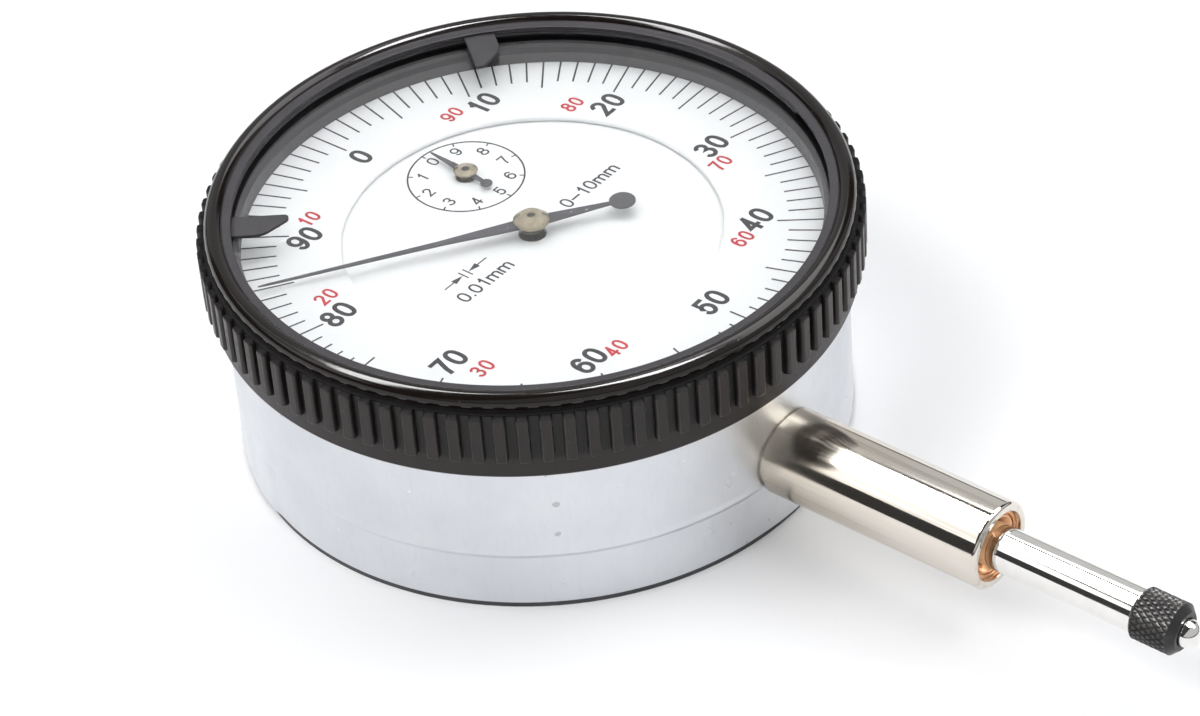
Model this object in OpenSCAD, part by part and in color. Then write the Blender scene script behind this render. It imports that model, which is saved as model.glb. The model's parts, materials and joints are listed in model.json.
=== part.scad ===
// Plunger dial indicator, 0.01 mm divisions, 10 mm travel, shown with the plunger fully out.
// It lies on its back: Z runs through the dial, the stem points along -Y and 12 o'clock is +Y.

/* [Case] */
// Outer radius of the case
case_r = 28; // [27.6:0.1:28.2]
// Height of the case's shoulder under the bezel
case_top = 15.5; // [15.5:0.05:15.6]
// Thickness of the case wall
case_wall = 1.7; // [1.4:0.1:1.9]
// Thickness of the back cover's visible edge
cover_edge = 0.5; // [0.3:0.1:0.6]

/* [Stem and spindle] */
// Outer radius of the mounting stem
stem_r = 4; // [3.9:0.05:4.1]
// Distance from the dial centre to the stem's free end
stem_end = 50; // [48:0.5:54]
// Height of the stem axis over the back
stem_z = 7.7; // [7.7:0.05:7.8]
// Radius of the measuring spindle
spindle_r = 2; // [1.95:0.01:2.05]
// Distance from the dial centre to the spindle's free end, at rest
spindle_end = 64; // [62:0.5:66]
// Travel of the spindle
travel = 10.3; // [10:0.1:10.3]

/* [Contact point] */
// Radius of the knurled collar
collar_r = 2.33; // [2.2:0.01:2.5]
// Length of the knurled collar
collar_len = 4.2; // [3.5:0.1:5]
// Radius of the contact ball
ball_r = 1.25; // [1:0.05:1.4]

/* [Bezel] */
// Outer radius of the plain drum under the grip ribs
bezel_r = 29; // [28.6:0.1:29.2]
// Radius over the grip ribs
rib_r = 29.6; // [29.4:0.05:29.8]
// Number of grip ribs
rib_count = 94; // [60:1:110]
// Height of the bezel's top
bezel_top = 24.1; // [24:0.05:24.2]

/* [Dial and hands] */
// How far the dial is turned anticlockwise of straight up
dial_turn = 1.3; // [-30:0.1:30]
// Height of the turning scale's face
scale_z = 19.3; // [19.25:0.05:19.3]
// Distance that the pointer stands before zero with the spindle out, in divisions
rest_lead = 15.3; // [5:0.1:25]
// Angle of each limit hand from the dial's zero
limit_angle = 38.2; // [15:0.1:80]
// Free length of the main hand from its axis
hand_len = 25; // [22:0.1:25.5]

/* [Gear train] */
// Spindle travel for one turn of the rack pinion and of the counter
turn_travel = 10; // [9.95:0.05:10.05]
// Distance of the rack pinion's and the counter's axes from the spindle's plane
arbor_x = 3.17; // [3.1:0.01:3.2]

/* [Hidden] */
$fn = 96;
eps = 0.05;
run_gap = 0.03;

// Case
bore_r = case_r - case_wall;
neck_r = 27.2;
neck_top = 17.9;
neck_bore_r = 25.6;
ledge_r = 23.6;
ledge_bottom = 12.6;
ledge_top = 15.4;
wire_z = 16.75;
wire_r = 0.35;
wire_ring_r = 27.12;
groove_r = 26.7;
groove_h = 0.9;
cover_t = 1.3;
cover_r = case_r - 0.25;
boss_ring_r = 24.6;
boss_r = 2;
boss_top = 7;
cover_screw_angles = [45, 135, 225, 315];
plate_screw_angles = [30, 150, 270];

// Stem and guides
stem_root = 25.4;
stem_root_r = 3.8;
stem_seam = 28.1;
stem_round = 0.6;
bush_r = 3.2;
bush_recess = 0.55;
bush_len = 14;
bush_mouth = 0.55;
stud_r = 1.25;
stud_len = 4;
collar_bevel = 0.6;
collar_foot = 0.2;
ball_seat = 0.15;
stem_bore_r = 2.6;
top_bush_r = 3;
top_bush_in = 22;
top_bush_out = 31;
cap_r = 3.25;
cap_start = 28.05;
cap_end = 35;
cap_bore_r = 2.3;
cap_bevel = 0.5;
cap_floor = 0.8;
spindle_top = 23.5;

// Gear train, from one rack pitch
rack_teeth = 16;
rack_pitch = turn_travel / rack_teeth;
gear_module = rack_pitch / PI;
press_angle = 20;
wheel_teeth = 100;
pinion_teeth = 10;
rack_pinion_r = gear_module * rack_teeth / 2;
centre_dist = gear_module * (wheel_teeth + pinion_teeth) / 2;
arbor_y = sqrt(centre_dist * centre_dist - arbor_x * arbor_x);
mesh_angle = atan2(arbor_y, arbor_x);
backlash = 0.02;
root_gap = 0.04;
pinion_add = gear_module;
wheel_add = 0.6 * gear_module;
rack_add = 0.9 * gear_module;
transfer_pos = [-arbor_x, -arbor_y];
counter_pos = [arbor_x, arbor_y];

// Levels of the movement
bridge_z = 4.2;
bridge_t = 1;
rack_pinion_z = 6.6;
rack_pinion_h = 2.2;
mid_plate_z = 10.1;
mid_plate_t = 0.9;
mid_plate_top = mid_plate_z + mid_plate_t;
mid_plate_r = 21.8;
transfer_z = 11.6;
counter_z = 13;
wheel_t = 0.6;
centre_pinion_z = 11.3;
centre_pinion_h = 2.8;
collet_z = 14.2;
collet_r = 1.3;
collet_h = 0.7;
front_plate_z = ledge_top;
front_plate_t = 1;
front_plate_top = front_plate_z + front_plate_t;
front_plate_r = 25.5;
pillar_spots = [[17, 6], [-17, 6], [17, -6], [-17, -6]];
pillar_r = 1.5;
bridge_post_spots = [[-12, -14], [-12, -7]];
bridge_post_r = 1.4;
bridge_pad = [3.6, 11];
bridge_arm_w = 4;
bearing_r = 2;
pivot_r = 0.3;
pivot_len = 2;
arbor_r = 0.6;
journal_r = 0.5;
end_float = 0.1;
wheel_hub_r = 1.6;
wheel_hub_h = 1.3;
wheel_hole_r = 1.9;
wheel_hole_ring_r = 5.6;

// Screws: shank, head and slot
shank_r = 0.8;
head_r = 1.4;
head_h = 0.8;
small_shank_r = 0.6;
small_head_r = 1.1;
small_head_h = 0.7;
plate_head_r = 0.95;
plate_head_h = 0.9;
cover_head_r = 2;
cover_head_h = 1;
cover_hole_r = 1;
cover_slot = [4, 0.4, 0.4];
slot_w = 0.3;
slot_depth = 0.3;
post_thread_len = 3.5;
pillar_thread_len = 2.5;

// Guide rail, its pin and the return spring
pin_y = -2;
pin_r = 0.7;
pin_root_r = 0.6;
pin_tip_x = 8.2;
rail_x = [3, 5.8];
rail_y = [-5, 11.6];
rail_bottom = 6.2;
rail_screw_y = [-3.9, 10.3];
spring_x = 7.4;
spring_fixed_y = -19.5;
spring_coil_r = 0.95;
spring_wire_r = 0.15;
spring_lead = 1.6;
spring_post_r = 0.6;
spring_rivet_r = 0.5;
spring_flange = 0.5;
spring_turns = 20.25;
spring_steps = 12;
spring_sides = 6;
hook_angle = 300;

// Dials and crystal
dial_t = 0.4;
dial_step = 0.5;
inner_dial_z = scale_z - dial_step - dial_t;
inner_dial_r = 17.6;
centre_hole_r = 1.28;
counter_hole_r = 0.98;
foot_ring_r = 13;
foot_r = 1;
foot_pin_r = 0.5;
scale_in_r = 17;
ring_r = 27.25;
retainer_in_r = 26;
retainer_t = 0.8;
crystal_z = 21.48;
crystal_t = 1.2;
crystal_top = crystal_z + crystal_t;
spacer_in_r = 25.9;

// Bezel
bezel_z = 15.7;
bezel_bore_r = 27.27;
bezel_groove_r = 27.62;
rib_z = 17.6;
rib_h = 4.85;
rib_top = rib_z + rib_h;
rib_root_r = bezel_r - eps;
rib_share = 0.58;
rib_slope = 0.2;
neck_in = 0.35;
lip_r = 26.4;
lip_z = 23.4;
lip_t = 0.2;
bead_r = 0.85;
bead_ring_r = 27.95;
bead_z = bezel_top - bead_r;
limit_t = 0.3;
limit_ring_r = 26.5;
limit_tip_r = 21.35;
limit_w = 2.85;
limit_gap_angle = 50;

// Hands
hand_angle = 90 + dial_turn + rest_lead * 3.6;
hand_z = 19.95;
hand_t = 0.15;
main_hub_r = 1.65;
main_hub_top = 20.9;
main_disc_r = 1.5;
counter_disc_r = 1;
main_sleeve_r = 1;
main_sleeve_z = 19.3;
tail_at = 8.45;
tail_r = 1.2;
counter_hand_angle = 90 - rest_lead * 0.36;
counter_hand_z = 19.26;
counter_hand_t = 0.12;
counter_hand_len = 4.66;
counter_tail_at = 2.69;
counter_tail_r = 0.55;
counter_hub_r = 1.12;
counter_hub_top = 19.75;
counter_sleeve_r = 0.7;
counter_sleeve_z = 18.85;

// Involute helpers, in degrees
function inv(a) = tan(a) * 180 / PI - a;
function base_r(r) = r * cos(press_angle);
function half_tooth(r, rho) = (rack_pitch / 2 - backlash) / (2 * r) * 180 / PI + inv(press_angle)
    - (rho > base_r(r) ? inv(acos(base_r(r) / rho)) : 0);
function flank_radii(r, root, tip) = root < base_r(r)
    ? [root, base_r(r), (base_r(r) + r) / 2, r, (r + tip) / 2, tip]
    : [root, r, tip];
function polar(r, a) = [r * cos(a), r * sin(a)];

// Gear outline with a tooth on the +X axis
function gear_points(teeth, root, tip) = let(
    r = gear_module * teeth / 2,
    radii = flank_radii(r, root, tip),
    n = len(radii))
    [for (i = [0:teeth - 1], k = [0:2 * n - 1])
        let(rho = radii[k < n ? k : 2 * n - 1 - k], side = k < n ? -1 : 1)
        polar(rho, i * 360 / teeth + side * half_tooth(r, rho))];

module gear(teeth, root, tip, h, turn) {
    rotate([0, 0, turn])
        linear_extrude(h)
            polygon(gear_points(teeth, root, tip));
}

// Round bar along +Y from y0 to y1 at the stem's height
module along_y(r, y0, y1) {
    translate([0, y0, stem_z])
        rotate([-90, 0, 0])
            cylinder(r = r, h = y1 - y0);
}

module tube(r_out, r_in, z0, z1) {
    difference() {
        translate([0, 0, z0])
            cylinder(r = r_out, h = z1 - z0);
        translate([0, 0, z0 - eps])
            cylinder(r = r_in, h = z1 - z0 + 2 * eps);
    }
}

module on_ring(r, angles) {
    for (a = angles)
        rotate([0, 0, a])
            translate([r, 0, 0])
                children();
}

// ---- Case ----

module case_shell() {
    difference() {
        union() {
            tube(case_r, bore_r, cover_edge, case_top);
            tube(neck_r, neck_bore_r, case_top - eps, neck_top);
            tube(bore_r + eps, ledge_r, ledge_bottom, ledge_top);
            tube(bore_r + eps, neck_bore_r, ledge_top - eps, case_top + eps);
            intersection() {
                on_ring(boss_ring_r, cover_screw_angles)
                    translate([0, 0, cover_t])
                        cylinder(r = boss_r, h = boss_top - cover_t);
                cylinder(r = bore_r + eps, h = case_top);
            }
        }
        tube(neck_r + 1, groove_r, wire_z - groove_h / 2, wire_z + groove_h / 2);
        along_y(stem_root_r, -case_r - 1, -ledge_r);
        along_y(top_bush_r, top_bush_in, case_r + 1);
        on_ring(boss_ring_r, cover_screw_angles)
            cylinder(r = shank_r, h = boss_top - 1);
        on_ring(boss_ring_r, plate_screw_angles)
            translate([0, 0, ledge_bottom + 0.5])
                cylinder(r = shank_r, h = ledge_top);
    }
}

module case() {
    color("lightsteelblue")
        case_shell();
}

module back_cover() {
    color("dimgray")
        difference() {
            union() {
                cylinder(r = cover_r, h = cover_edge);
                cylinder(r = bore_r - eps, h = cover_t);
            }
            on_ring(boss_ring_r, cover_screw_angles) {
                translate([0, 0, -eps])
                    cylinder(r = cover_hole_r, h = cover_t + 1);
                translate([0, 0, -eps])
                    cylinder(r1 = cover_head_r, r2 = cover_hole_r, h = cover_head_h);
            }
        }
}

module cover_screws() {
    color("silver")
        on_ring(boss_ring_r, cover_screw_angles)
            difference() {
                union() {
                    translate([0, 0, eps])
                        cylinder(r1 = cover_head_r - 0.12, r2 = cover_hole_r - eps, h = cover_head_h - 0.07);
                    translate([0, 0, eps])
                        cylinder(r = shank_r, h = boss_top - 1.5);
                }
                translate([-cover_slot.x / 2, -cover_slot.y / 2, -eps])
                    cube([cover_slot.x, cover_slot.y, cover_slot.z + eps]);
            }
}

// ---- Stem, bushes and cap ----

// Stem outline: thinner root in the case wall, full radius from the seam on, rounded free end
function stem_outline() = concat(
    [[stem_bore_r, 0], [stem_root_r, 0], [stem_root_r, stem_seam - stem_root]],
    [[stem_r, stem_seam - stem_root]],
    [for (a = [0:15:90])
        [stem_r - stem_round + stem_round * cos(a), stem_end - stem_root - stem_round + stem_round * sin(a)]],
    [[bush_r, stem_end - stem_root], [bush_r, stem_end - stem_root - bush_recess - bush_len]],
    [[stem_bore_r, stem_end - stem_root - bush_recess - bush_len]]);

module stem() {
    color("gainsboro")
        translate([0, -stem_root, stem_z])
            rotate([90, 0, 0])
                rotate_extrude()
                    polygon(stem_outline());
}

module stem_bush() {
    color("peru")
        difference() {
            along_y(bush_r, -stem_end + bush_recess, -stem_end + bush_recess + bush_len);
            along_y(spindle_r + run_gap, -stem_end, -stem_root);
            translate([0, -stem_end + bush_recess - eps, stem_z])
                rotate([-90, 0, 0])
                    cylinder(r1 = spindle_r + bush_mouth, r2 = spindle_r, h = bush_mouth);
        }
}

module top_bush() {
    color("peru")
        difference() {
            along_y(top_bush_r, top_bush_in, top_bush_out);
            along_y(spindle_r + run_gap, top_bush_in - 1, top_bush_out + 1);
        }
}

module dust_cap() {
    color("silver")
        difference() {
            union() {
                along_y(cap_r, cap_start, cap_end - cap_bevel);
                translate([0, cap_end - cap_bevel, stem_z])
                    rotate([-90, 0, 0])
                        cylinder(r1 = cap_r, r2 = cap_r - cap_bevel, h = cap_bevel);
            }
            along_y(top_bush_r, cap_start - 1, top_bush_out + 0.1);
            along_y(cap_bore_r, cap_start, cap_end - cap_floor);
            cylinder(r = case_r, h = case_top);
        }
}

// ---- Movement plates ----

module front_plate() {
    color("khaki")
        difference() {
            translate([0, 0, front_plate_z])
                cylinder(r = front_plate_r, h = front_plate_t);
            translate([0, 0, front_plate_z - eps]) {
                cylinder(r = journal_r + run_gap, h = 2);
                translate(counter_pos)
                    cylinder(r = journal_r + run_gap, h = 2);
                translate(transfer_pos)
                    cylinder(r = pivot_r + run_gap, h = 2);
                on_ring(foot_ring_r, plate_screw_angles)
                    cylinder(r = foot_pin_r, h = 2);
                for (p = pillar_spots)
                    translate(p)
                        cylinder(r = shank_r, h = 2);
            }
            on_ring(boss_ring_r, plate_screw_angles)
                translate([0, 0, front_plate_z - eps])
                    cylinder(r = shank_r + 0.15, h = 2);
        }
}

module front_plate_screws() {
    color("silver")
        on_ring(boss_ring_r, plate_screw_angles)
            difference() {
                union() {
                    translate([0, 0, front_plate_top])
                        cylinder(r = plate_head_r, h = plate_head_h);
                    translate([0, 0, ledge_bottom + 0.6])
                        cylinder(r = shank_r, h = front_plate_top - ledge_bottom);
                }
                translate([-head_r, -slot_w / 2, front_plate_top + plate_head_h - slot_depth])
                    cube([2 * head_r, slot_w, 1]);
            }
}

module mid_plate() {
    color("khaki")
        difference() {
            translate([0, 0, mid_plate_z])
                cylinder(r = mid_plate_r, h = mid_plate_t);
            translate([0, 0, mid_plate_z + 0.2]) {
                cylinder(r = pivot_r + run_gap, h = 2);
                translate(counter_pos)
                    cylinder(r = pivot_r + run_gap, h = 2);
            }
            translate([transfer_pos.x, transfer_pos.y, mid_plate_z - eps])
                cylinder(r = bearing_r, h = 2);
            for (p = concat(pillar_spots, bridge_post_spots))
                translate([p.x, p.y, mid_plate_z - eps])
                    cylinder(r = shank_r, h = 2);
            for (y = rail_screw_y)
                translate([(rail_x[0] + rail_x[1]) / 2, y, mid_plate_z - eps])
                    cylinder(r = small_shank_r, h = 2);
            translate([spring_x, spring_fixed_y, mid_plate_z - eps])
                cylinder(r = spring_rivet_r, h = 2);
        }
}

module plate_pillars() {
    color("goldenrod")
        for (p = pillar_spots)
            translate(p)
                difference() {
                    union() {
                        translate([0, 0, mid_plate_top])
                            cylinder(r = pillar_r, h = front_plate_z - mid_plate_top);
                        translate([0, 0, front_plate_z - eps])
                            cylinder(r = shank_r, h = front_plate_t + eps);
                    }
                    translate([0, 0, mid_plate_top - eps])
                        cylinder(r = shank_r, h = pillar_thread_len);
                }
}

// Cheese-head screw with its head below z and its shank above it
module screw_up(z, shank, length, head, height) {
    difference() {
        union() {
            translate([0, 0, z - height])
                cylinder(r = head, h = height);
            translate([0, 0, z - eps])
                cylinder(r = shank, h = length + eps);
        }
        translate([-head - 1, -slot_w / 2, z - height - 1])
            cube([2 * head + 2, slot_w, 1 + slot_depth]);
    }
}

module pillar_screws() {
    color("silver")
        for (p = pillar_spots)
            translate(p)
                screw_up(mid_plate_z, shank_r, mid_plate_t + pillar_thread_len - 0.6, head_r, head_h);
}

module pinion_bridge() {
    post_mid = (bridge_post_spots[0] + bridge_post_spots[1]) / 2;
    color("khaki")
        difference() {
            translate([0, 0, bridge_z])
                union() {
                    translate(transfer_pos)
                        cylinder(r = bearing_r, h = bridge_t);
                    translate([post_mid.x, -arbor_y - bridge_arm_w / 2, 0])
                        cube([-arbor_x - post_mid.x, bridge_arm_w, bridge_t]);
                    translate([post_mid.x - bridge_pad.x / 2, post_mid.y - bridge_pad.y / 2, 0])
                        cube([bridge_pad.x, bridge_pad.y, bridge_t]);
                }
            translate([transfer_pos.x, transfer_pos.y, bridge_z - eps])
                cylinder(r = pivot_r + run_gap, h = 2);
            for (p = bridge_post_spots)
                translate([p.x, p.y, bridge_z - eps])
                    cylinder(r = shank_r, h = 2);
        }
}

module bridge_posts() {
    color("goldenrod")
        for (p = bridge_post_spots)
            translate(p)
                difference() {
                    union() {
                        translate([0, 0, bridge_z + bridge_t])
                            cylinder(r = bridge_post_r, h = mid_plate_z - bridge_z - bridge_t);
                        translate([0, 0, mid_plate_z - eps])
                            cylinder(r = shank_r, h = mid_plate_t + eps);
                    }
                    translate([0, 0, bridge_z])
                        cylinder(r = shank_r, h = post_thread_len);
                }
}

module bridge_screws() {
    color("silver")
        for (p = bridge_post_spots)
            translate(p)
                screw_up(bridge_z, shank_r, post_thread_len - 0.1, head_r, head_h);
}

// Block with a slot that keeps the spindle from turning and stops it at both ends
module guide_rail() {
    color("khaki")
        difference() {
            translate([rail_x[0], rail_y[0], rail_bottom])
                cube([rail_x[1] - rail_x[0], rail_y[1] - rail_y[0], mid_plate_z - rail_bottom]);
            translate([rail_x[0] - 1, pin_y - pin_r - run_gap, stem_z - pin_r - run_gap])
                cube([rail_x[1], travel + 2 * pin_r + 2 * run_gap, 2 * pin_r + 2 * run_gap]);
            for (y = rail_screw_y)
                translate([(rail_x[0] + rail_x[1]) / 2, y, rail_bottom - eps])
                    cylinder(r = small_shank_r, h = mid_plate_z);
        }
}

module rail_screws() {
    color("silver")
        for (y = rail_screw_y)
            translate([(rail_x[0] + rail_x[1]) / 2, y, 0])
                screw_up(rail_bottom, small_shank_r, mid_plate_top - rail_bottom, small_head_r, small_head_h);
}

module spring_post() {
    color("silver")
        translate([spring_x, spring_fixed_y, 0])
            union() {
                translate([0, 0, stem_z - 2 * spring_flange])
                    cylinder(r = spring_post_r, h = mid_plate_z - stem_z + 2 * spring_flange);
                translate([0, 0, stem_z - 3 * spring_flange])
                    cylinder(r = 2 * spring_flange, h = spring_flange + eps);
                translate([0, 0, mid_plate_z - eps])
                    cylinder(r = spring_rivet_r, h = mid_plate_t + eps);
            }
}

// ---- Springs ----

coil_y0 = spring_fixed_y + spring_lead;
coil_y1 = pin_y - spring_lead;

// Centre line of the coiled part, with a cross-section in the plane through the coil's axis
function coil_centre(i) = let(t = i / spring_steps, a = 360 * t)
    [spring_coil_r * cos(a), coil_y0 + (coil_y1 - coil_y0) * t / spring_turns, spring_coil_r * sin(a)];
function coil_ring(i) = let(c = coil_centre(i), a = 360 * i / spring_steps)
    [for (s = [0:spring_sides - 1]) let(b = 360 * s / spring_sides)
        [c.x + spring_wire_r * cos(b) * cos(a), c.y + spring_wire_r * sin(b),
            c.z + spring_wire_r * cos(b) * sin(a)]];
coil_last = spring_turns * spring_steps;

module coil() {
    points = [for (i = [0:coil_last]) each coil_ring(i)];
    sides = [for (i = [0:coil_last - 1], s = [0:spring_sides - 1])
        let(a = i * spring_sides + s, b = i * spring_sides + (s + 1) % spring_sides)
        each [[a, b + spring_sides, b], [a, a + spring_sides, b + spring_sides]]];
    ends = [[for (s = [0:spring_sides - 1]) s],
        [for (s = [spring_sides - 1:-1:0]) coil_last * spring_sides + s]];
    polyhedron(points, concat(sides, ends));
}

// Open loop of wire that starts at +X and runs clockwise, then a straight lead along +Y from +X.
// The fixed end's loop goes round its upright post, and the other one round the guide pin.
module hook() {
    rotate_extrude(angle = -hook_angle)
        translate([spring_coil_r, 0])
            circle(r = spring_wire_r, $fn = 24);
    translate([spring_coil_r, 0, 0])
        rotate([-90, 0, 0])
            cylinder(r = spring_wire_r, h = spring_lead, $fn = 24);
}

module return_spring() {
    color("gray")
        translate([spring_x, 0, stem_z]) {
            coil();
            translate([0, spring_fixed_y, 0])
                hook();
            translate([0, pin_y, 0])
                rotate([0, -90, 0])
                    mirror([0, 1, 0])
                        hook();
        }
}

hair_turns = 4;
hair_steps = 24;
hair_r0 = 1.8;
hair_r1 = 5.6;
hair_t = 0.1;
hair_h = 0.4;
hair_z = collet_z + 0.15;
hair_stud_r = 0.45;
hair_count = hair_turns * hair_steps;
stud_angle = 200;
function hair_r(i) = hair_r0 + (hair_r1 - hair_r0) * i / hair_count;
function hair_side(offset) = [for (i = [0:hair_count])
    polar(hair_r(i) + offset, stud_angle + 360 * (i - hair_count) / hair_steps)];
function reversed(list) = [for (i = [len(list) - 1:-1:0]) list[i]];

module hairspring() {
    color("steelblue")
        translate([counter_pos.x, counter_pos.y, hair_z])
            linear_extrude(hair_h)
                polygon(concat(hair_side(-hair_t / 2), reversed(hair_side(hair_t / 2))));
}

module hairspring_stud() {
    color("goldenrod")
        translate([counter_pos.x, counter_pos.y, 0])
            rotate([0, 0, stud_angle])
                translate([hair_r1 + hair_t / 2 + hair_stud_r, 0, collet_z])
                    cylinder(r = hair_stud_r, h = front_plate_z - collet_z);
}

// ---- Fixed dial and the wire that holds the bezel ----

module inner_dial() {
    color("white")
        difference() {
            union() {
                translate([0, 0, inner_dial_z])
                    cylinder(r = inner_dial_r, h = dial_t);
                on_ring(foot_ring_r, plate_screw_angles) {
                    translate([0, 0, front_plate_top])
                        cylinder(r = foot_r, h = inner_dial_z - front_plate_top + eps);
                    translate([0, 0, front_plate_z + 0.1])
                        cylinder(r = foot_pin_r, h = front_plate_t);
                }
            }
            translate([0, 0, inner_dial_z - eps])
                cylinder(r = centre_hole_r, h = 1);
            translate([counter_pos.x, counter_pos.y, inner_dial_z - eps])
                cylinder(r = counter_hole_r, h = 1);
        }
}

module bezel_wire() {
    color("gray")
        translate([0, 0, wire_z])
            rotate([0, 0, 100])
                rotate_extrude(angle = 340)
                    translate([wire_ring_r, 0])
                        circle(r = wire_r, $fn = 32);
}

// ---- Bezel and what turns with it ----

function rib_points() = let(pitch = 360 / rib_count, half = pitch * rib_share / 2)
    [for (i = [0:rib_count - 1]) each [
        polar(rib_root_r, i * pitch - half),
        polar(rib_r, i * pitch - half + rib_slope),
        polar(rib_r, i * pitch + half - rib_slope),
        polar(rib_root_r, i * pitch + half)]];

// Plain drum that the ribs stand on
drum_outline = [[bezel_bore_r, bezel_z], [bezel_r - 0.2, bezel_z], [bezel_r, bezel_z + 0.2],
    [bezel_r, rib_top], [bezel_bore_r, rib_top]];

// Narrow neck, round bead and lip
function crown_outline() = concat(
    [[bezel_bore_r, rib_top - eps], [bezel_r - neck_in, rib_top - eps]],
    [for (a = [-35:10:125]) [bead_ring_r + bead_r * cos(a), bead_z + bead_r * sin(a)]],
    [[lip_r, lip_z + lip_t], [lip_r, lip_z], [bezel_bore_r, lip_z]]);

module bezel() {
    color("#1c1a19")
        difference() {
            union() {
                rotate_extrude()
                    polygon(drum_outline);
                difference() {
                    translate([0, 0, rib_z])
                        linear_extrude(rib_h)
                            polygon(rib_points());
                    translate([0, 0, rib_z - eps])
                        cylinder(r = bezel_bore_r, h = rib_h + 2 * eps);
                }
                rotate_extrude()
                    polygon(crown_outline());
            }
            tube(bezel_groove_r, bezel_bore_r - 0.5, wire_z - groove_h / 2 - eps, wire_z + groove_h / 2 + eps);
        }
}

module crystal() {
    color([0.85, 0.92, 0.95, 0.3])
        translate([0, 0, crystal_z])
            cylinder(r = ring_r, h = crystal_t);
}

module spacer_ring() {
    color("#2b292b")
        tube(ring_r, spacer_in_r, scale_z, crystal_z);
}

module scale_ring() {
    color("white")
        tube(ring_r, scale_in_r, scale_z - dial_t, scale_z);
}

module dial_retainer() {
    color("#2b292b")
        tube(ring_r, retainer_in_r, scale_z - dial_t - retainer_t, scale_z - dial_t);
}

// Split ring with a tab; the tab's measuring edge lies on the hand's angle, and hand_side says
// which way the tab's body lies from that edge
module limit_hand(angle, hand_side, z0) {
    rotate([0, 0, angle])
        translate([0, 0, z0])
            union() {
                difference() {
                    cylinder(r = neck_r, h = limit_t);
                    translate([0, 0, -eps])
                        cylinder(r = limit_ring_r, h = limit_t + 2 * eps);
                    rotate([0, 0, 180])
                        translate([0, 0, -eps])
                            linear_extrude(limit_t + 2 * eps)
                                polygon([[0, 0], polar(2 * case_r, -limit_gap_angle / 2),
                                    polar(2 * case_r, limit_gap_angle / 2)]);
                }
                linear_extrude(limit_t)
                    polygon([[limit_ring_r + 0.3, 0], [limit_tip_r + 0.25, 0], [limit_tip_r, hand_side * 0.15],
                        [limit_tip_r, hand_side * 0.45], [limit_tip_r + 2, hand_side * limit_w],
                        [limit_ring_r + 0.1, hand_side * limit_w]]);
            }
}

module limit_hand_left() {
    color("#3a383a")
        limit_hand(90 + dial_turn + limit_angle, 1, crystal_top + 0.04);
}

module limit_hand_right() {
    color("#3a383a")
        limit_hand(90 + dial_turn - limit_angle, -1, crystal_top + 0.08 + limit_t);
}

// ---- Spindle and contact ----

rack_x = -arbor_x + rack_pinion_r;
rack_tip_x = rack_x - rack_add;
rack_root_x = rack_x + pinion_add + root_gap - 0.001;
gullet_half = rack_pitch / 4 + backlash / 2;
rack_slope = tan(press_angle);
gullets_down = 20;
gullets_up = 2;

// One gap between rack teeth, centred on y = 0 and open towards -X
module rack_gullet() {
    root_half = gullet_half - rack_slope * (rack_root_x - rack_x);
    mouth_half = gullet_half + rack_slope * (rack_x + spindle_r + 0.5);
    linear_extrude(2 * spindle_r + 1)
        polygon([[-spindle_r - 0.5, -mouth_half], [rack_root_x, -root_half],
            [rack_root_x, root_half], [-spindle_r - 0.5, mouth_half]]);
}

module spindle() {
    color("gainsboro")
        difference() {
            along_y(spindle_r, -spindle_end, spindle_top);
            translate([-spindle_r - 1, -arbor_y - (gullets_down + 0.5) * rack_pitch, stem_z - spindle_r - 1])
                cube([spindle_r + 1 + rack_tip_x, (gullets_down + gullets_up + 1) * rack_pitch,
                    2 * spindle_r + 2]);
            for (i = [-gullets_down:gullets_up])
                translate([0, -arbor_y + i * rack_pitch, stem_z - spindle_r - 0.5])
                    rack_gullet();
            along_y(stud_r, -spindle_end - 1, -spindle_end + stud_len + 0.2);
            translate([0.5, pin_y, stem_z])
                rotate([0, 90, 0])
                    cylinder(r = pin_root_r, h = spindle_r);
        }
}

module guide_pin() {
    color("silver")
        translate([0, pin_y, stem_z])
            rotate([0, 90, 0])
                union() {
                    translate([0, 0, pin_root_r])
                        cylinder(r = pin_root_r, h = spindle_r);
                    translate([0, 0, spindle_r + 0.2])
                        cylinder(r = pin_r, h = pin_tip_x - spindle_r - 0.2);
                }
}

// Threaded stud, knurled collar and bevelled nose, with a seat for the ball
module contact_holder() {
    straight = collar_len - collar_bevel;
    color("#222222")
        translate([0, -spindle_end, stem_z])
            rotate([90, 0, 0])
                difference() {
                    union() {
                        translate([0, 0, -stud_len])
                            cylinder(r = stud_r, h = stud_len + 1);
                        cylinder(r1 = collar_r - collar_foot, r2 = collar_r, h = collar_foot);
                        translate([0, 0, collar_foot])
                            cylinder(r = collar_r, h = straight - collar_foot);
                        translate([0, 0, straight])
                            cylinder(r1 = collar_r, r2 = collar_r - collar_bevel, h = collar_bevel);
                    }
                    translate([0, 0, collar_len + ball_seat])
                        sphere(r = ball_r);
                }
}

module contact_ball() {
    color("silver")
        translate([0, -spindle_end - collar_len - ball_seat, stem_z])
            sphere(r = ball_r);
}

// ---- Gear train ----

module rack_pinion() {
    bridge_top = bridge_z + bridge_t;
    color("silver")
        translate([transfer_pos.x, transfer_pos.y, 0])
            union() {
                translate([0, 0, bridge_z])
                    cylinder(r = pivot_r, h = front_plate_top - bridge_z);
                translate([0, 0, bridge_top + end_float])
                    cylinder(r = arbor_r, h = front_plate_z - bridge_top - 2 * end_float);
                translate([0, 0, rack_pinion_z])
                    gear(rack_teeth, rack_pinion_r - rack_add - root_gap, rack_pinion_r + pinion_add,
                        rack_pinion_h, 0);
            }
}

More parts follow.
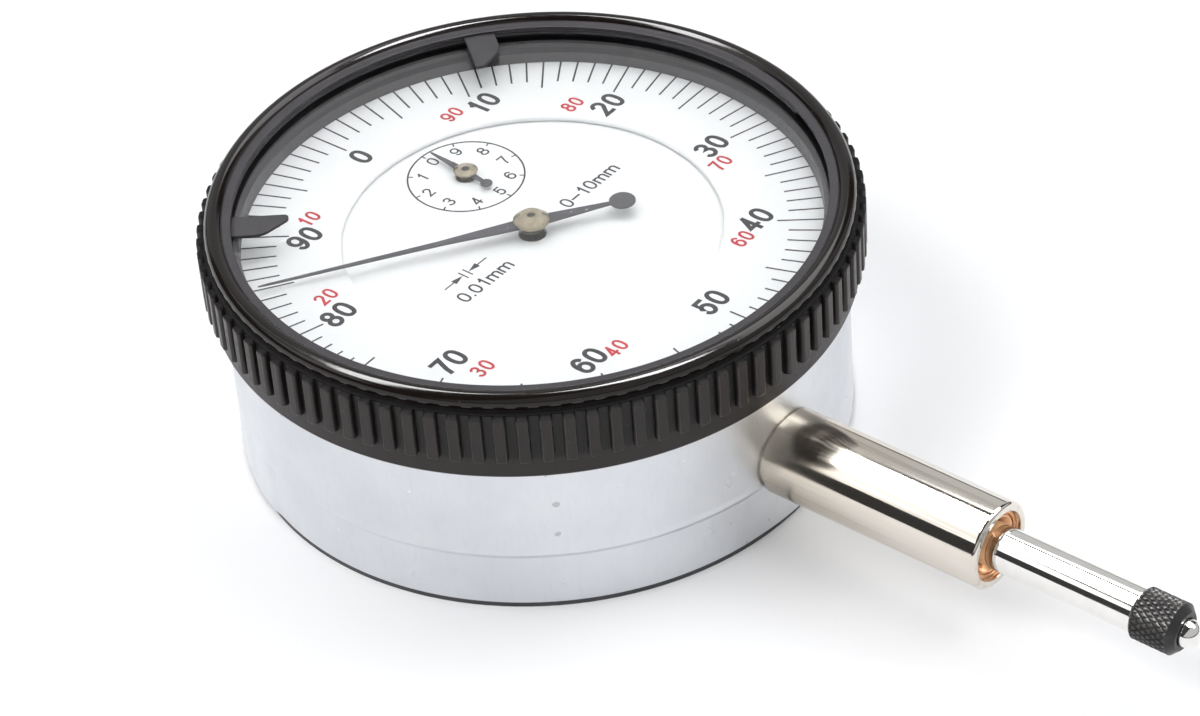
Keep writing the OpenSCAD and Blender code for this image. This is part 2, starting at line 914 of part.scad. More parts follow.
// Hundred-tooth wheel with lightening holes and a hub
module wheel(turn, hub_z, hub_h) {
    wheel_r = gear_module * wheel_teeth / 2;
    difference() {
        union() {
            gear(wheel_teeth, wheel_r - pinion_add - root_gap, wheel_r + wheel_add, wheel_t, turn);
            translate([0, 0, hub_z])
                cylinder(r = wheel_hub_r, h = hub_h);
        }
        translate([0, 0, -2])
            cylinder(r = arbor_r, h = 5);
        on_ring(wheel_hole_ring_r, [turn:60:turn + 300])
            translate([0, 0, -1])
                cylinder(r = wheel_hole_r, h = 3);
    }
}

module transfer_gear() {
    color("goldenrod")
        translate([transfer_pos.x, transfer_pos.y, transfer_z])
            wheel(mesh_angle, 0, wheel_hub_h);
}

// Arbor between the plates: pivot in the middle plate, journal through the front plate up to top_z
module plate_arbor(top_z) {
    union() {
        translate([0, 0, mid_plate_z + 0.25])
            cylinder(r = pivot_r, h = pivot_len);
        translate([0, 0, mid_plate_top + end_float])
            cylinder(r = arbor_r, h = front_plate_z - mid_plate_top - 2 * end_float);
        translate([0, 0, front_plate_z - 2 * end_float])
            cylinder(r = journal_r, h = top_z - front_plate_z + 2 * end_float);
    }
}

module centre_pinion() {
    small_r = gear_module * pinion_teeth / 2;
    color("silver")
        union() {
            plate_arbor(main_hub_top - 0.2);
            translate([0, 0, centre_pinion_z])
                gear(pinion_teeth, small_r - wheel_add - root_gap, small_r + pinion_add, centre_pinion_h,
                    mesh_angle + 180 / pinion_teeth);
        }
}

module counter_arbor() {
    color("silver")
        translate([counter_pos.x, counter_pos.y, 0])
            plate_arbor(counter_hub_top - 0.12);
}

module counter_gear() {
    color("goldenrod")
        translate([counter_pos.x, counter_pos.y, counter_z])
            wheel(mesh_angle + 180, -wheel_t, 2 * wheel_t);
}

module hairspring_collet() {
    color("goldenrod")
        translate([counter_pos.x, counter_pos.y, 0])
            tube(collet_r, arbor_r, collet_z, collet_z + collet_h);
}

// ---- Hands ----

// Tapered blade along +X with a disc round its axis and another on its tail
module hand(points, t, hub_r, tail, disc_r, sleeve_r) {
    difference() {
        union() {
            linear_extrude(t)
                polygon(points);
            cylinder(r = hub_r, h = t);
            translate([-tail, 0, 0])
                cylinder(r = disc_r, h = t);
        }
        translate([0, 0, -eps])
            cylinder(r = sleeve_r, h = t + 2 * eps);
    }
}

// One side of each blade, as [distance from the axis, half width], from the tail to the tip
main_side = [[-tail_at, 0.25], [-1.2, 0.72], [1.2, 0.72], [8.5, 0.33], [hand_len - 0.8, 0.12],
    [hand_len, 0.03]];
counter_side = [[-counter_tail_at, 0.2], [-0.5, 0.34], [0.5, 0.4], [counter_hand_len - 0.2, 0.09],
    [counter_hand_len, 0.01]];
function blade(side) = concat(side, [for (p = reversed(side)) [p.x, -p.y]]);

module main_hand() {
    color("#2a282c")
        translate([0, 0, hand_z])
            rotate([0, 0, hand_angle])
                hand(blade(main_side), hand_t, main_disc_r, tail_at, tail_r, main_sleeve_r);
}

module counter_hand() {
    color("#2a282c")
        translate([counter_pos.x, counter_pos.y, counter_hand_z])
            rotate([0, 0, counter_hand_angle])
                hand(blade(counter_side), counter_hand_t, counter_disc_r, counter_tail_at, counter_tail_r,
                    counter_sleeve_r);
}

// Sleeve under the hand and a bevelled button over it
module hub(sleeve_r, sleeve_z, seat_z, button_r, top_z) {
    rim = (top_z - seat_z) * 0.25;
    rotate_extrude()
        polygon([[journal_r, sleeve_z], [sleeve_r, sleeve_z], [sleeve_r, seat_z], [button_r, seat_z],
            [button_r, seat_z + rim], [button_r * 0.55, top_z], [journal_r, top_z]]);
}

module main_hub() {
    color("tan")
        hub(main_sleeve_r, main_sleeve_z, hand_z + hand_t, main_hub_r, main_hub_top);
}

module counter_hub() {
    color("tan")
        translate([counter_pos.x, counter_pos.y, 0])
            hub(counter_sleeve_r, counter_sleeve_z, counter_hand_z + counter_hand_t, counter_hub_r,
                counter_hub_top);
}

case();
back_cover();
cover_screws();
stem();
stem_bush();
top_bush();
dust_cap();
front_plate();
front_plate_screws();
mid_plate();
plate_pillars();
pillar_screws();
pinion_bridge();
bridge_posts();
bridge_screws();
guide_rail();
rail_screws();
spring_post();
return_spring();
hairspring();
hairspring_stud();
inner_dial();
bezel_wire();
bezel();
crystal();
spacer_ring();
scale_ring();
dial_retainer();
limit_hand_left();
limit_hand_right();
spindle();
guide_pin();
contact_holder();
contact_ball();
rack_pinion();
transfer_gear();
centre_pinion();
main_hand();
main_hub();
counter_arbor();
counter_gear();
hairspring_collet();
counter_hand();
counter_hub();
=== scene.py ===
"""Looks of a plunger dial indicator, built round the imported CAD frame.

Lengths are millimetres in the frame's own axes: Z runs through the dial, the stem points along
-Y and 12 o'clock is +Y. Pieces are made in code and scaled to metres where their mesh is made.
"""

import json
import math

import bmesh
import bpy
from mathutils import Matrix, Vector


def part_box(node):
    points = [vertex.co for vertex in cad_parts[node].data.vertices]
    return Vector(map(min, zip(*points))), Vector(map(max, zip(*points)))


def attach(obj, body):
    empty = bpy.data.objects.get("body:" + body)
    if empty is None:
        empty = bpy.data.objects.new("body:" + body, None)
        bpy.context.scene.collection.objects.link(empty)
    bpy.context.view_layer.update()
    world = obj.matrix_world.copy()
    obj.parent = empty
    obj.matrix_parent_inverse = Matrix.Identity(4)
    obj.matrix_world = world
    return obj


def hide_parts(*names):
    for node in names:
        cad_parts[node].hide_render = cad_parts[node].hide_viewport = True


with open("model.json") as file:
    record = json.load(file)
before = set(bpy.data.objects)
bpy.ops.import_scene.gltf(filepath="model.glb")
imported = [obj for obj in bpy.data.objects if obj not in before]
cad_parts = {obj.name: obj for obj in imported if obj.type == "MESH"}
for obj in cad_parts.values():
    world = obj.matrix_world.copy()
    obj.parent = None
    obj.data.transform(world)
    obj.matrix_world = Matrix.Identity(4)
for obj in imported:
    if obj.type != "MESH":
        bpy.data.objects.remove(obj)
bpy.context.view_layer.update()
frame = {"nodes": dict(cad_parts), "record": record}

MM = 0.001
TAU = 2 * math.pi


# ---- driving sizes, from the frame


def node_box(node):
    """Lowest and highest corner of a CAD node, in millimetres."""
    low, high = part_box(node)
    return low / MM, high / MM


def centre_of(node):
    low, high = node_box(node)
    return (low + high) / 2


CASE_LOW, CASE_HIGH = node_box("case")
CASE_R = CASE_HIGH.x
COVER_EDGE = CASE_LOW.z
NECK_TOP = CASE_HIGH.z
CASE_TOP = 15.5
NECK_R = 27.2

STEM_LOW, STEM_HIGH = node_box("stem")
STEM_Z = centre_of("stem").z
STEM_R = STEM_HIGH.x
STEM_ROOT = -STEM_HIGH.y
STEM_END = -STEM_LOW.y
STEM_SEAM = 28.1
STEM_ROOT_R = 3.8

BUSH_FACE = -node_box("stem_bush")[0].y
BUSH_LEN = BUSH_FACE + node_box("stem_bush")[1].y
BUSH_R = node_box("stem_bush")[1].x
CAP_LOW, CAP_HIGH = node_box("dust_cap")
SPINDLE_LOW, SPINDLE_HIGH = node_box("spindle")
SPINDLE_END = -SPINDLE_LOW.y
SPINDLE_R = SPINDLE_HIGH.x
BALL_LOW, BALL_HIGH = node_box("contact_ball")
BALL_R = (BALL_HIGH.x - BALL_LOW.x) / 2 - 0.002
BALL_AT = -(BALL_LOW.y + BALL_HIGH.y) / 2
COLLAR_R = node_box("contact_holder")[1].x
COLLAR_END = -node_box("contact_holder")[0].y

BEZEL_LOW, BEZEL_HIGH = node_box("bezel")
RIB_R = BEZEL_HIGH.x
BEZEL_Z = BEZEL_LOW.z
BEZEL_TOP = BEZEL_HIGH.z
BORE_R = 27.27
RIB_COUNT = 94

CRYSTAL_LOW, CRYSTAL_HIGH = node_box("crystal")
SPACER_LOW, SPACER_HIGH = node_box("spacer_ring")
SCALE_LOW, SCALE_HIGH = node_box("scale_ring")
FACE_Z = SCALE_HIGH.z
INNER_FACE_Z = node_box("inner_dial")[1].z
RING_R = SCALE_HIGH.x
SCALE_IN_R = 17.0
SPACER_IN_R = 25.9
COUNTER_AT = centre_of("counter_arbor")

DIAL_TURN = math.radians(1.3)
REST_LEAD = 15.3
HAND_ANGLE = math.pi / 2 + DIAL_TURN + math.radians(REST_LEAD * 3.6)
COUNTER_ANGLE = math.pi / 2 - math.radians(REST_LEAD * 0.36)
LIMIT_ANGLE = math.radians(38.2)
HUB_HEIGHTS = node_box("main_hub")[0].z, node_box("main_hand")[1].z, node_box("main_hub")[1].z


# ---- materials


class Material:
    """A Principled material that reads object coordinates in millimetres."""

    def __init__(self, name, colour, metallic, roughness, **sockets):
        self.material = bpy.data.materials.new(name)
        self.material.use_nodes = True
        self.tree = self.material.node_tree
        self.shader = self.tree.nodes["Principled BSDF"]
        self.colour = colour
        self.shader.inputs["Base Color"].default_value = (*colour, 1)
        self.shader.inputs["Metallic"].default_value = metallic
        self.shader.inputs["Roughness"].default_value = roughness
        for socket, value in sockets.items():
            self.shader.inputs[socket.replace("_", " ")].default_value = value
        self.tint = None
        self.bump = None

    def node(self, kind, **values):
        made = self.tree.nodes.new(kind)
        for key, value in values.items():
            setattr(made, key, value)
        return made

    def link(self, source, target):
        self.tree.links.new(source, target)

    def place(self, scale=(1, 1, 1), centre=(0, 0, 0)):
        """Object coordinates in millimetres about centre, then scaled along each axis."""
        coords = self.node("ShaderNodeTexCoord")
        moved = self.node("ShaderNodeMapping", vector_type="POINT")
        moved.inputs["Scale"].default_value = [s / MM for s in scale]
        moved.inputs["Location"].default_value = [-c * s for c, s in zip(centre, scale)]
        self.link(coords.outputs["Object"], moved.inputs["Vector"])
        return moved.outputs["Vector"]

    def noise(self, scale, detail=3.0, rough=0.55, stretch=(1, 1, 1), centre=(0, 0, 0)):
        made = self.node("ShaderNodeTexNoise")
        made.inputs["Scale"].default_value = scale
        made.inputs["Detail"].default_value = detail
        made.inputs["Roughness"].default_value = rough
        self.link(self.place(stretch, centre), made.inputs["Vector"])
        return made.outputs["Fac"]

    def rings(self, pitch, centre, wobble=0.4):
        """Turning marks: rings about the Z axis through centre, one per pitch."""
        made = self.node("ShaderNodeTexWave", wave_type="RINGS", rings_direction="Z")
        made.inputs["Scale"].default_value = TAU / (20 * pitch)
        made.inputs["Distortion"].default_value = wobble
        made.inputs["Detail"].default_value = 2
        self.link(self.place((1, 1, 1), centre), made.inputs["Vector"])
        return made.outputs["Fac"]

    def spread(self, value, low, high, start=0.3, stop=0.7):
        """Maps a 0 to 1 texture onto low to high."""
        made = self.node("ShaderNodeMapRange")
        sockets = {"From Min": start, "From Max": stop, "To Min": low, "To Max": high}
        for socket, number in sockets.items():
            made.inputs[socket].default_value = number
        self.link(value, made.inputs["Value"])
        return made.outputs["Result"]

    def roughen(self, value, low, high, start=0.3, stop=0.7):
        self.link(self.spread(value, low, high, start, stop), self.shader.inputs["Roughness"])

    def stain(self, value, colour, amount, start=0.35, stop=0.75):
        """Mixes colour in where the texture is high, up to amount."""
        mix = self.node("ShaderNodeMix", data_type="RGBA")
        factor = self.spread(value, 0.0, amount, start, stop)
        self.link(factor, mix.inputs["Factor"])
        if self.tint is None:
            mix.inputs[6].default_value = (*self.colour, 1)
        else:
            self.link(self.tint, mix.inputs[6])
        mix.inputs[7].default_value = (*colour, 1)
        self.tint = mix.outputs[2]
        self.link(self.tint, self.shader.inputs["Base Color"])

    def emboss(self, value, height, strength=1.0):
        """Bump of the given height in millimetres."""
        made = self.node("ShaderNodeBump")
        made.inputs["Strength"].default_value = strength
        made.inputs["Distance"].default_value = height * MM
        self.link(value, made.inputs["Height"])
        if self.bump is not None:
            self.link(self.bump, made.inputs["Normal"])
        self.bump = made.outputs["Normal"]
        self.link(self.bump, self.shader.inputs["Normal"])

    def along(self, axis, start, stop):
        """0 at start and 1 at stop on an axis, in millimetres."""
        split = self.node("ShaderNodeSeparateXYZ")
        self.link(self.place(), split.inputs["Vector"])
        return self.spread(split.outputs[axis], 0.0, 1.0, start, stop)

    def attribute(self, name):
        return self.node("ShaderNodeAttribute", attribute_name=name).outputs["Fac"]


def satin_chrome():
    m = Material("satin_chrome", (0.68, 0.70, 0.73), 1.0, 0.3)
    m.roughen(m.noise(0.35, 4), 0.27, 0.40)
    m.stain(m.noise(0.12, 3), (0.80, 0.81, 0.83), 0.55)
    m.stain(m.noise(2.4, 2, stretch=(1, 1, 0.25)), (0.60, 0.63, 0.67), 0.25, 0.5, 0.8)
    m.stain(m.noise(0.9, 0), (0.25, 0.24, 0.24), 0.45, 0.86, 0.88)
    m.emboss(m.noise(9.0, 4), 0.006)
    m.emboss(m.noise(0.5, 2), 0.02)
    return m.material


def bright_chrome():
    m = Material("bright_chrome", (0.74, 0.70, 0.645), 1.0, 0.08)
    polish = m.spread(m.noise(0.6, 4, stretch=(1, 0.2, 1)), 0.05, 0.10)
    dull = m.node("ShaderNodeMath", operation="MULTIPLY_ADD")
    m.link(m.along("Y", -38, -27), dull.inputs[0])
    dull.inputs[1].default_value = 0.16
    m.link(polish, dull.inputs[2])
    m.link(dull.outputs["Value"], m.shader.inputs["Roughness"])
    m.stain(m.noise(0.5, 3, stretch=(1, 0.15, 1)), (0.66, 0.60, 0.51), 0.5)
    m.stain(m.noise(1.3, 2, stretch=(1, 0.02, 1)), (0.46, 0.42, 0.37), 0.6, 0.56, 0.66)
    m.stain(m.along("Y", -42, -28), (0.56, 0.48, 0.36), 0.6, 0.0, 1.0)
    m.emboss(m.noise(14.0, 3, stretch=(1, 0.05, 1)), 0.0006)
    m.emboss(m.noise(0.4, 2), 0.004)
    return m.material


def hard_steel():
    m = Material("hard_steel", (0.84, 0.83, 0.81), 1.0, 0.06)
    m.roughen(m.noise(1.5, 4, stretch=(1, 0.1, 1)), 0.04, 0.11)
    m.stain(m.noise(1.2, 3), (0.74, 0.71, 0.66), 0.4)
    m.emboss(m.noise(18.0, 3, stretch=(1, 0.05, 1)), 0.0005)
    return m.material


def bronze():
    m = Material("bronze", (0.80, 0.46, 0.25), 1.0, 0.25)
    m.roughen(m.noise(3.0, 4), 0.32, 0.44)
    m.stain(m.noise(1.8, 4), (0.66, 0.37, 0.20), 0.3)
    m.emboss(m.noise(7.0, 3), 0.0015)
    return m.material


def brass():
    m = Material("brass", (0.78, 0.61, 0.30), 1.0, 0.25)
    m.roughen(m.noise(1.2, 4, stretch=(1, 0.2, 1)), 0.2, 0.4)
    m.stain(m.noise(0.5, 4), (0.62, 0.45, 0.20), 0.5)
    m.emboss(m.noise(11.0, 3, stretch=(0.1, 1, 1)), 0.002)
    return m.material


def screw_steel():
    m = Material("screw_steel", (0.62, 0.62, 0.61), 1.0, 0.3)
    m.roughen(m.noise(2.0, 3), 0.22, 0.42)
    m.stain(m.noise(1.5, 3), (0.45, 0.44, 0.42), 0.5)
    m.emboss(m.noise(12.0, 3), 0.003)
    return m.material


def spring_steel():
    m = Material("spring_steel", (0.42, 0.43, 0.47), 1.0, 0.28)
    m.roughen(m.noise(3.0, 3), 0.2, 0.4)
    m.stain(m.noise(2.0, 3), (0.30, 0.28, 0.26), 0.5)
    m.emboss(m.noise(15.0, 2), 0.002)
    return m.material


def cover_black():
    m = Material("cover_black", (0.03, 0.03, 0.033), 0.0, 0.45)
    m.roughen(m.noise(2.0, 4), 0.38, 0.55)
    m.stain(m.noise(0.4, 4), (0.06, 0.06, 0.062), 0.6)
    m.emboss(m.noise(5.0, 4), 0.008)
    return m.material


def black_oxide():
    m = Material("black_oxide", (0.022, 0.021, 0.022), 0.35, 0.34)
    m.roughen(m.noise(3.5, 4), 0.26, 0.46)
    m.stain(m.attribute("wear_and_highlight"), (0.14, 0.13, 0.12), 0.55, 0.55, 1.0)
    m.stain(m.noise(1.6, 3), (0.04, 0.037, 0.034), 0.6)
    m.emboss(m.noise(10.0, 3), 0.004)
    return m.material


def bezel_black(name, colour, low, high, wear_and_highlight_colour, gloss):
    """Black anodised metal; gloss is the strength of its clear reflections."""
    m = Material(name, colour, 0.0, (low + high) / 2, Specular_IOR_Level=gloss)
    m.roughen(m.noise(1.6, 4), low, high)
    m.stain(m.noise(0.45, 4), tuple(1.5 * c for c in colour), 0.6)
    # Painted shade: darkens the drum in the gaps between the ribs
    m.stain(m.attribute("rib_gap_shade"), (0.003, 0.0028, 0.0028), 0.85, 0.1, 1.0)
    # Lighter rib edges: partly wear, partly painted highlight; the pale line along the collar edge
    # is a painted highlight
    m.stain(m.attribute("wear_and_highlight"), wear_and_highlight_colour, 0.8, 0.2, 1.0)
    m.stain(m.noise(3.2, 0), (0.16, 0.15, 0.14), 0.4, 0.86, 0.88)
    m.emboss(m.noise(6.0, 4), 0.0015)
    return m.material


def ring_black():
    m = Material("ring_black", (0.034, 0.031, 0.034), 0.0, 0.4, Specular_IOR_Level=0.3)
    m.roughen(m.noise(2.0, 4), 0.33, 0.5)
    m.stain(m.noise(0.5, 3), (0.048, 0.045, 0.049), 0.6)
    m.emboss(m.noise(6.0, 3), 0.003)
    return m.material


def dial_white():
    m = Material("dial_white", (0.765, 0.768, 0.775), 0.0, 0.6, Specular_IOR_Level=0.1)
    m.roughen(m.noise(1.0, 4), 0.52, 0.68)
    m.stain(m.noise(0.25, 4), (0.735, 0.74, 0.755), 0.5)
    m.emboss(m.noise(8.0, 4), 0.0015)
    return m.material


def ink(name, colour, faded):
    m = Material(name, colour, 0.0, 0.6, Specular_IOR_Level=0.05)
    m.roughen(m.noise(3.0, 3), 0.52, 0.7)
    m.stain(m.noise(2.5, 4), faded, 0.5)
    m.emboss(m.noise(9.0, 2), 0.001)
    return m.material


def hand_black():
    m = Material("hand_black", (0.045, 0.042, 0.048), 0.0, 0.45, Specular_IOR_Level=0.25)
    m.roughen(m.noise(1.5, 4), 0.38, 0.55)
    m.stain(m.noise(1.2, 3), (0.085, 0.082, 0.09), 0.5)
    m.stain(m.noise(2.2, 0), (0.45, 0.44, 0.44), 0.6, 0.80, 0.83)
    m.emboss(m.noise(7.0, 3), 0.002)
    return m.material


def hub_nickel(name, centre, foot, seat, top):
    """Turned nickel about centre, with painted shade on its rim and neck; foot, seat and top are
    heights.
    """
    m = Material(name, (0.56, 0.49, 0.37), 1.0, 0.16)
    m.roughen(m.noise(2.5, 4), 0.12, 0.26)
    m.stain(m.noise(1.4, 4), (0.38, 0.30, 0.19), 0.7)
    # Painted shade: darker from the top down to the seat, and nearly black from the seat to the
    # foot
    m.stain(m.along("Z", top, seat), (0.20, 0.165, 0.12), 0.75, 0.45, 0.85)
    m.stain(m.along("Z", seat, foot), (0.04, 0.035, 0.03), 0.9, 0.55, 0.9)
    m.emboss(m.rings(0.07, centre), 0.0015)
    return m.material


def crystal_clear():
    """Clear polished sheet that refracts, and lets part of the direct light straight through."""
    m = Material("crystal_clear", (0.985, 0.995, 0.99), 0.0, 0.0, Transmission_Weight=1.0, IOR=1.49)
    m.roughen(m.noise(0.3, 3), 0.0, 0.012, 0.5, 0.9)
    m.emboss(m.noise(0.12, 2), 0.0006)
    clear = m.node("ShaderNodeBsdfTransparent")
    clear.inputs["Color"].default_value = (0.42, 0.42, 0.425, 1)
    path = m.node("ShaderNodeLightPath")
    mix = m.node("ShaderNodeMixShader")
    m.link(path.outputs["Is Shadow Ray"], mix.inputs["Fac"])
    m.link(m.shader.outputs["BSDF"], mix.inputs[1])
    m.link(clear.outputs["BSDF"], mix.inputs[2])
    m.link(mix.outputs["Shader"], m.tree.nodes["Material Output"].inputs["Surface"])
    return m.material


METALS = (satin_chrome, bright_chrome, hard_steel, bronze, brass, screw_steel, spring_steel,
          cover_black, black_oxide)
LOOKS = {look.__name__: look() for look in METALS}
LOOKS["bezel_black"] = bezel_black("bezel_gloss", (0.0072, 0.0048, 0.0038), 0.10, 0.16,
                                   (0.12, 0.11, 0.10), 0.35)
LOOKS.update({look.__name__: look() for look in (ring_black, dial_white, hand_black)})
LOOKS["hub_nickel"] = hub_nickel("hub_nickel", (0, 0, 0), *HUB_HEIGHTS)
LOOKS["crystal_clear"] = crystal_clear()
BEZEL_SATIN = bezel_black("bezel_satin", (0.0185, 0.0140, 0.0130), 0.30, 0.42,
                          (0.10, 0.095, 0.09), 0.3)
# Painted shade: a darker, duller copy of the bezel black for the rib tops and the neck above them
BEZEL_SHADE = bezel_black("bezel_shade", (0.010, 0.009, 0.0092), 0.5, 0.62,
                          (0.03, 0.028, 0.026), 0.06)
BEZEL_LIP = bezel_black("bezel_lip", (0.034, 0.031, 0.036), 0.34, 0.46, (0.16, 0.15, 0.15), 0.25)
INK_BLACK = ink("ink_black", (0.020, 0.020, 0.024), (0.034, 0.034, 0.038))
INK_RED = ink("ink_red", (0.46, 0.010, 0.018), (0.50, 0.025, 0.034))


# ---- mesh helpers


def smoothstep(value, start, stop):
    t = min(1.0, max(0.0, (value - start) / (stop - start)))
    return t * t * (3 - 2 * t)


def piece(name, verts, faces, body, slot, replaces=(), material=None, smooth=35, wear_and_highlight=None):
    """A named piece from millimetre points.

    Faces turn outwards, and edges over the smooth angle stay sharp.
    """
    mesh = bpy.data.meshes.new(name)
    mesh.from_pydata([Vector(v) * MM for v in verts], [], faces)
    if wear_and_highlight is not None:
        mesh.attributes.new("wear_and_highlight", "FLOAT", "POINT").data.foreach_set("value", wear_and_highlight)
    bm = bmesh.new()
    bm.from_mesh(mesh)
    bmesh.ops.recalc_face_normals(bm, faces=bm.faces)
    bm.to_mesh(mesh)
    bm.free()
    mesh.polygons.foreach_set("use_smooth", [True] * len(mesh.polygons))
    mesh.set_sharp_from_angle(angle=math.radians(smooth))
    mesh.materials.append(material or LOOKS[slot])
    made = bpy.data.objects.new(name, mesh)
    bpy.context.scene.collection.objects.link(made)
    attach(made, body)
    if replaces:
        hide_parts(*replaces)
    return made


def rounded(corners, steps=4, closed=True):
    """Outline through (x, y, radius) corners, each radius an arc."""
    points = []
    count = len(corners)
    for i, (x, y, radius) in enumerate(corners):
        if radius <= 0 or (not closed and i in (0, count - 1)):
            points.append((x, y))
            continue
        corner = Vector((x, y))
        back = Vector(corners[i - 1][:2]) - corner
        ahead = Vector(corners[(i + 1) % count][:2]) - corner
        half = back.angle(ahead) / 2
        cut = min(radius / math.tan(half), 0.49 * back.length, 0.49 * ahead.length)
        radius = cut * math.tan(half)
        back.normalize()
        ahead.normalize()
        centre = corner + (back + ahead).normalized() * (radius / math.sin(half))
        first = corner + back * cut - centre
        last = corner + ahead * cut - centre
        turn = first.angle_signed(last)
        for k in range(steps + 1):
            arm = first.copy()
            arm.rotate(Matrix.Rotation(-turn * k / steps, 2))
            points.append(tuple(centre + arm))
    return points


def supported(profile, closed=True, reach=0.04):
    """Adds a point near each end of every long straight stretch: smooth shading leaves it flat."""
    points = []
    for i, point in enumerate(profile):
        points.append(point)
        if not closed and i == len(profile) - 1:
            break
        start, stop = Vector(point), Vector(profile[(i + 1) % len(profile)])
        length = (stop - start).length
        if length > 5 * reach:
            step = (stop - start) * (reach / length)
            points += [tuple(start + step), tuple(stop - step)]
    return points


def about_z(x=0.0, y=0.0):
    """Maps (radius, height, angle) to a point round an upright axis."""
    return lambda r, h, a: (x + r * math.cos(a), y + r * math.sin(a), h)


def about_stem(r, d, a):
    """Maps (radius, distance from the dial's centre, angle) to a point round the stem's axis."""
    return (r * math.cos(a), -d, STEM_Z + r * math.sin(a))


def lathe(profile, place, segments=192, closed=True, angles=None, shape=None):
    """Turns a (radius, height) profile; a point on the axis is one vertex.

    shape(r, h, angle, row) may change the radius.
    """
    angles = angles or [TAU * i / segments for i in range(segments)]
    verts, faces, rows = [], [], []
    for k, (r, h) in enumerate(profile):
        if r < 1e-6:
            rows.append([len(verts)] * len(angles))
            verts.append(place(0, h, 0))
            continue
        rows.append(list(range(len(verts), len(verts) + len(angles))))
        verts += [place(shape(r, h, a, k) if shape else r, h, a) for a in angles]
    pairs = list(zip(rows, rows[1:])) + ([(rows[-1], rows[0])] if closed else [])
    for low, high in pairs:
        for i in range(len(angles)):
            j = (i + 1) % len(angles)
            quad = [low[i], low[j], high[j], high[i]]
            face = list(dict.fromkeys(quad))
            if len(face) > 2:
                faces.append(face)
    return verts, faces


def turned(name, profile, body, slot, place=None, segments=192, closed=True, **options):
    verts, faces = lathe(supported(profile, closed), place or about_z(), segments, closed)
    return piece(name, verts, faces, body, slot, **options)


def inset(outline, amount):
    """The closed outline moved inwards by amount, on its left side."""
    moved = []
    for i, point in enumerate(outline):
        p = Vector(point)
        back = (p - Vector(outline[i - 1])).normalized()
        ahead = (Vector(outline[(i + 1) % len(outline)]) - p).normalized()
        normal_a, normal_b = Vector((-back.y, back.x)), Vector((-ahead.y, ahead.x))
        mid = (normal_a + normal_b).normalized()
        moved.append(tuple(p + mid * (amount / max(0.5, mid.dot(normal_a)))))
    return moved


def plate(outline, z0, z1, bevel=0.0):
    """Flat plate from an anticlockwise outline, with its edges bevelled."""
    rings = [(outline, z0), (outline, z1)]
    if bevel:
        small = inset(outline, bevel)
        rings = [(small, z0), (outline, z0 + bevel), (outline, z1 - bevel), (small, z1)]
    count = len(outline)
    verts = [(x, y, z) for ring, z in rings for x, y in ring]
    faces = [list(range(count))[::-1], [count * (len(rings) - 1) + i for i in range(count)]]
    for k in range(len(rings) - 1):
        for i in range(count):
            j = (i + 1) % count
            faces.append([k * count + i, k * count + j, (k + 1) * count + j, (k + 1) * count + i])
    return verts, faces


def merge(parts):
    """One vertex and face list from several."""
    verts, faces = [], []
    for part_verts, part_faces in parts:
        faces += [[i + len(verts) for i in face] for face in part_faces]
        verts += part_verts
    return verts, faces


def spin(points, angle, x=0.0, y=0.0):
    """Points turned about the Z axis, then moved."""
    c, s = math.cos(angle), math.sin(angle)
    return [(x + c * p[0] - s * p[1], y + s * p[0] + c * p[1], *p[2:]) for p in points]


def cut_with(target, cutters):
    """Cuts closed solids out of a piece, then removes them."""
    for verts, faces in cutters:
        mesh = bpy.data.meshes.new("cutter")
        mesh.from_pydata([Vector(v) * MM for v in verts], [], faces)
        bm = bmesh.new()
        bm.from_mesh(mesh)
        bmesh.ops.recalc_face_normals(bm, faces=bm.faces)
        bm.to_mesh(mesh)
        bm.free()
        cutter = bpy.data.objects.new("cutter", mesh)
        bpy.context.scene.collection.objects.link(cutter)
        modifier = target.modifiers.new("cut", "BOOLEAN")
        modifier.operation = "DIFFERENCE"
        modifier.solver = "EXACT"
        modifier.object = cutter
        bpy.context.view_layer.update()
        evaluated = target.evaluated_get(bpy.context.evaluated_depsgraph_get())
        result = bpy.data.meshes.new_from_object(evaluated)
        target.modifiers.clear()
        target.data = result
        bpy.data.objects.remove(cutter)
    target.data.polygons.foreach_set("use_smooth", [True] * len(target.data.polygons))
    target.data.set_sharp_from_angle(angle=math.radians(35))


# ---- case

CREASE_Z = 5.9
CREASE_DEPTH = 0.22
CREASE_FROM = math.radians(90 - 292)
CREASE_TO = math.radians(90 - 190)
CREASE_FADE_IN, CREASE_FADE_OUT = 0.06, 0.3
CREASE_RIDGE = 0.5
COVER_SEAT_R = 26.3
NECK_BORE_R = 25.6
SHELF_R = 23.6
SHELF_LOW, SHELF_HIGH = 12.6, 15.4
WALL_STEP = 0.15
WALL_ROWS = 95


def case_shape(r, h, a, row):
    """Lets the outer wall step in a little under the casting's crease, left of the stem."""
    if r < CASE_R - 0.01:
        return r
    turn = (a - math.pi) % TAU - math.pi
    if turn > 0:
        turn -= TAU
    begun = smoothstep(turn, CREASE_FROM, CREASE_FROM + CREASE_FADE_IN)
    side = begun * (1 - smoothstep(turn, CREASE_TO, CREASE_TO + CREASE_FADE_OUT))
    below = 1 - smoothstep(h, CREASE_Z - 0.25, CREASE_Z + 0.15)
    ridge = math.exp(-(((h - CREASE_Z - 0.3) / 0.3) ** 2))
    return r - CREASE_DEPTH * side * (below - CREASE_RIDGE * ridge)


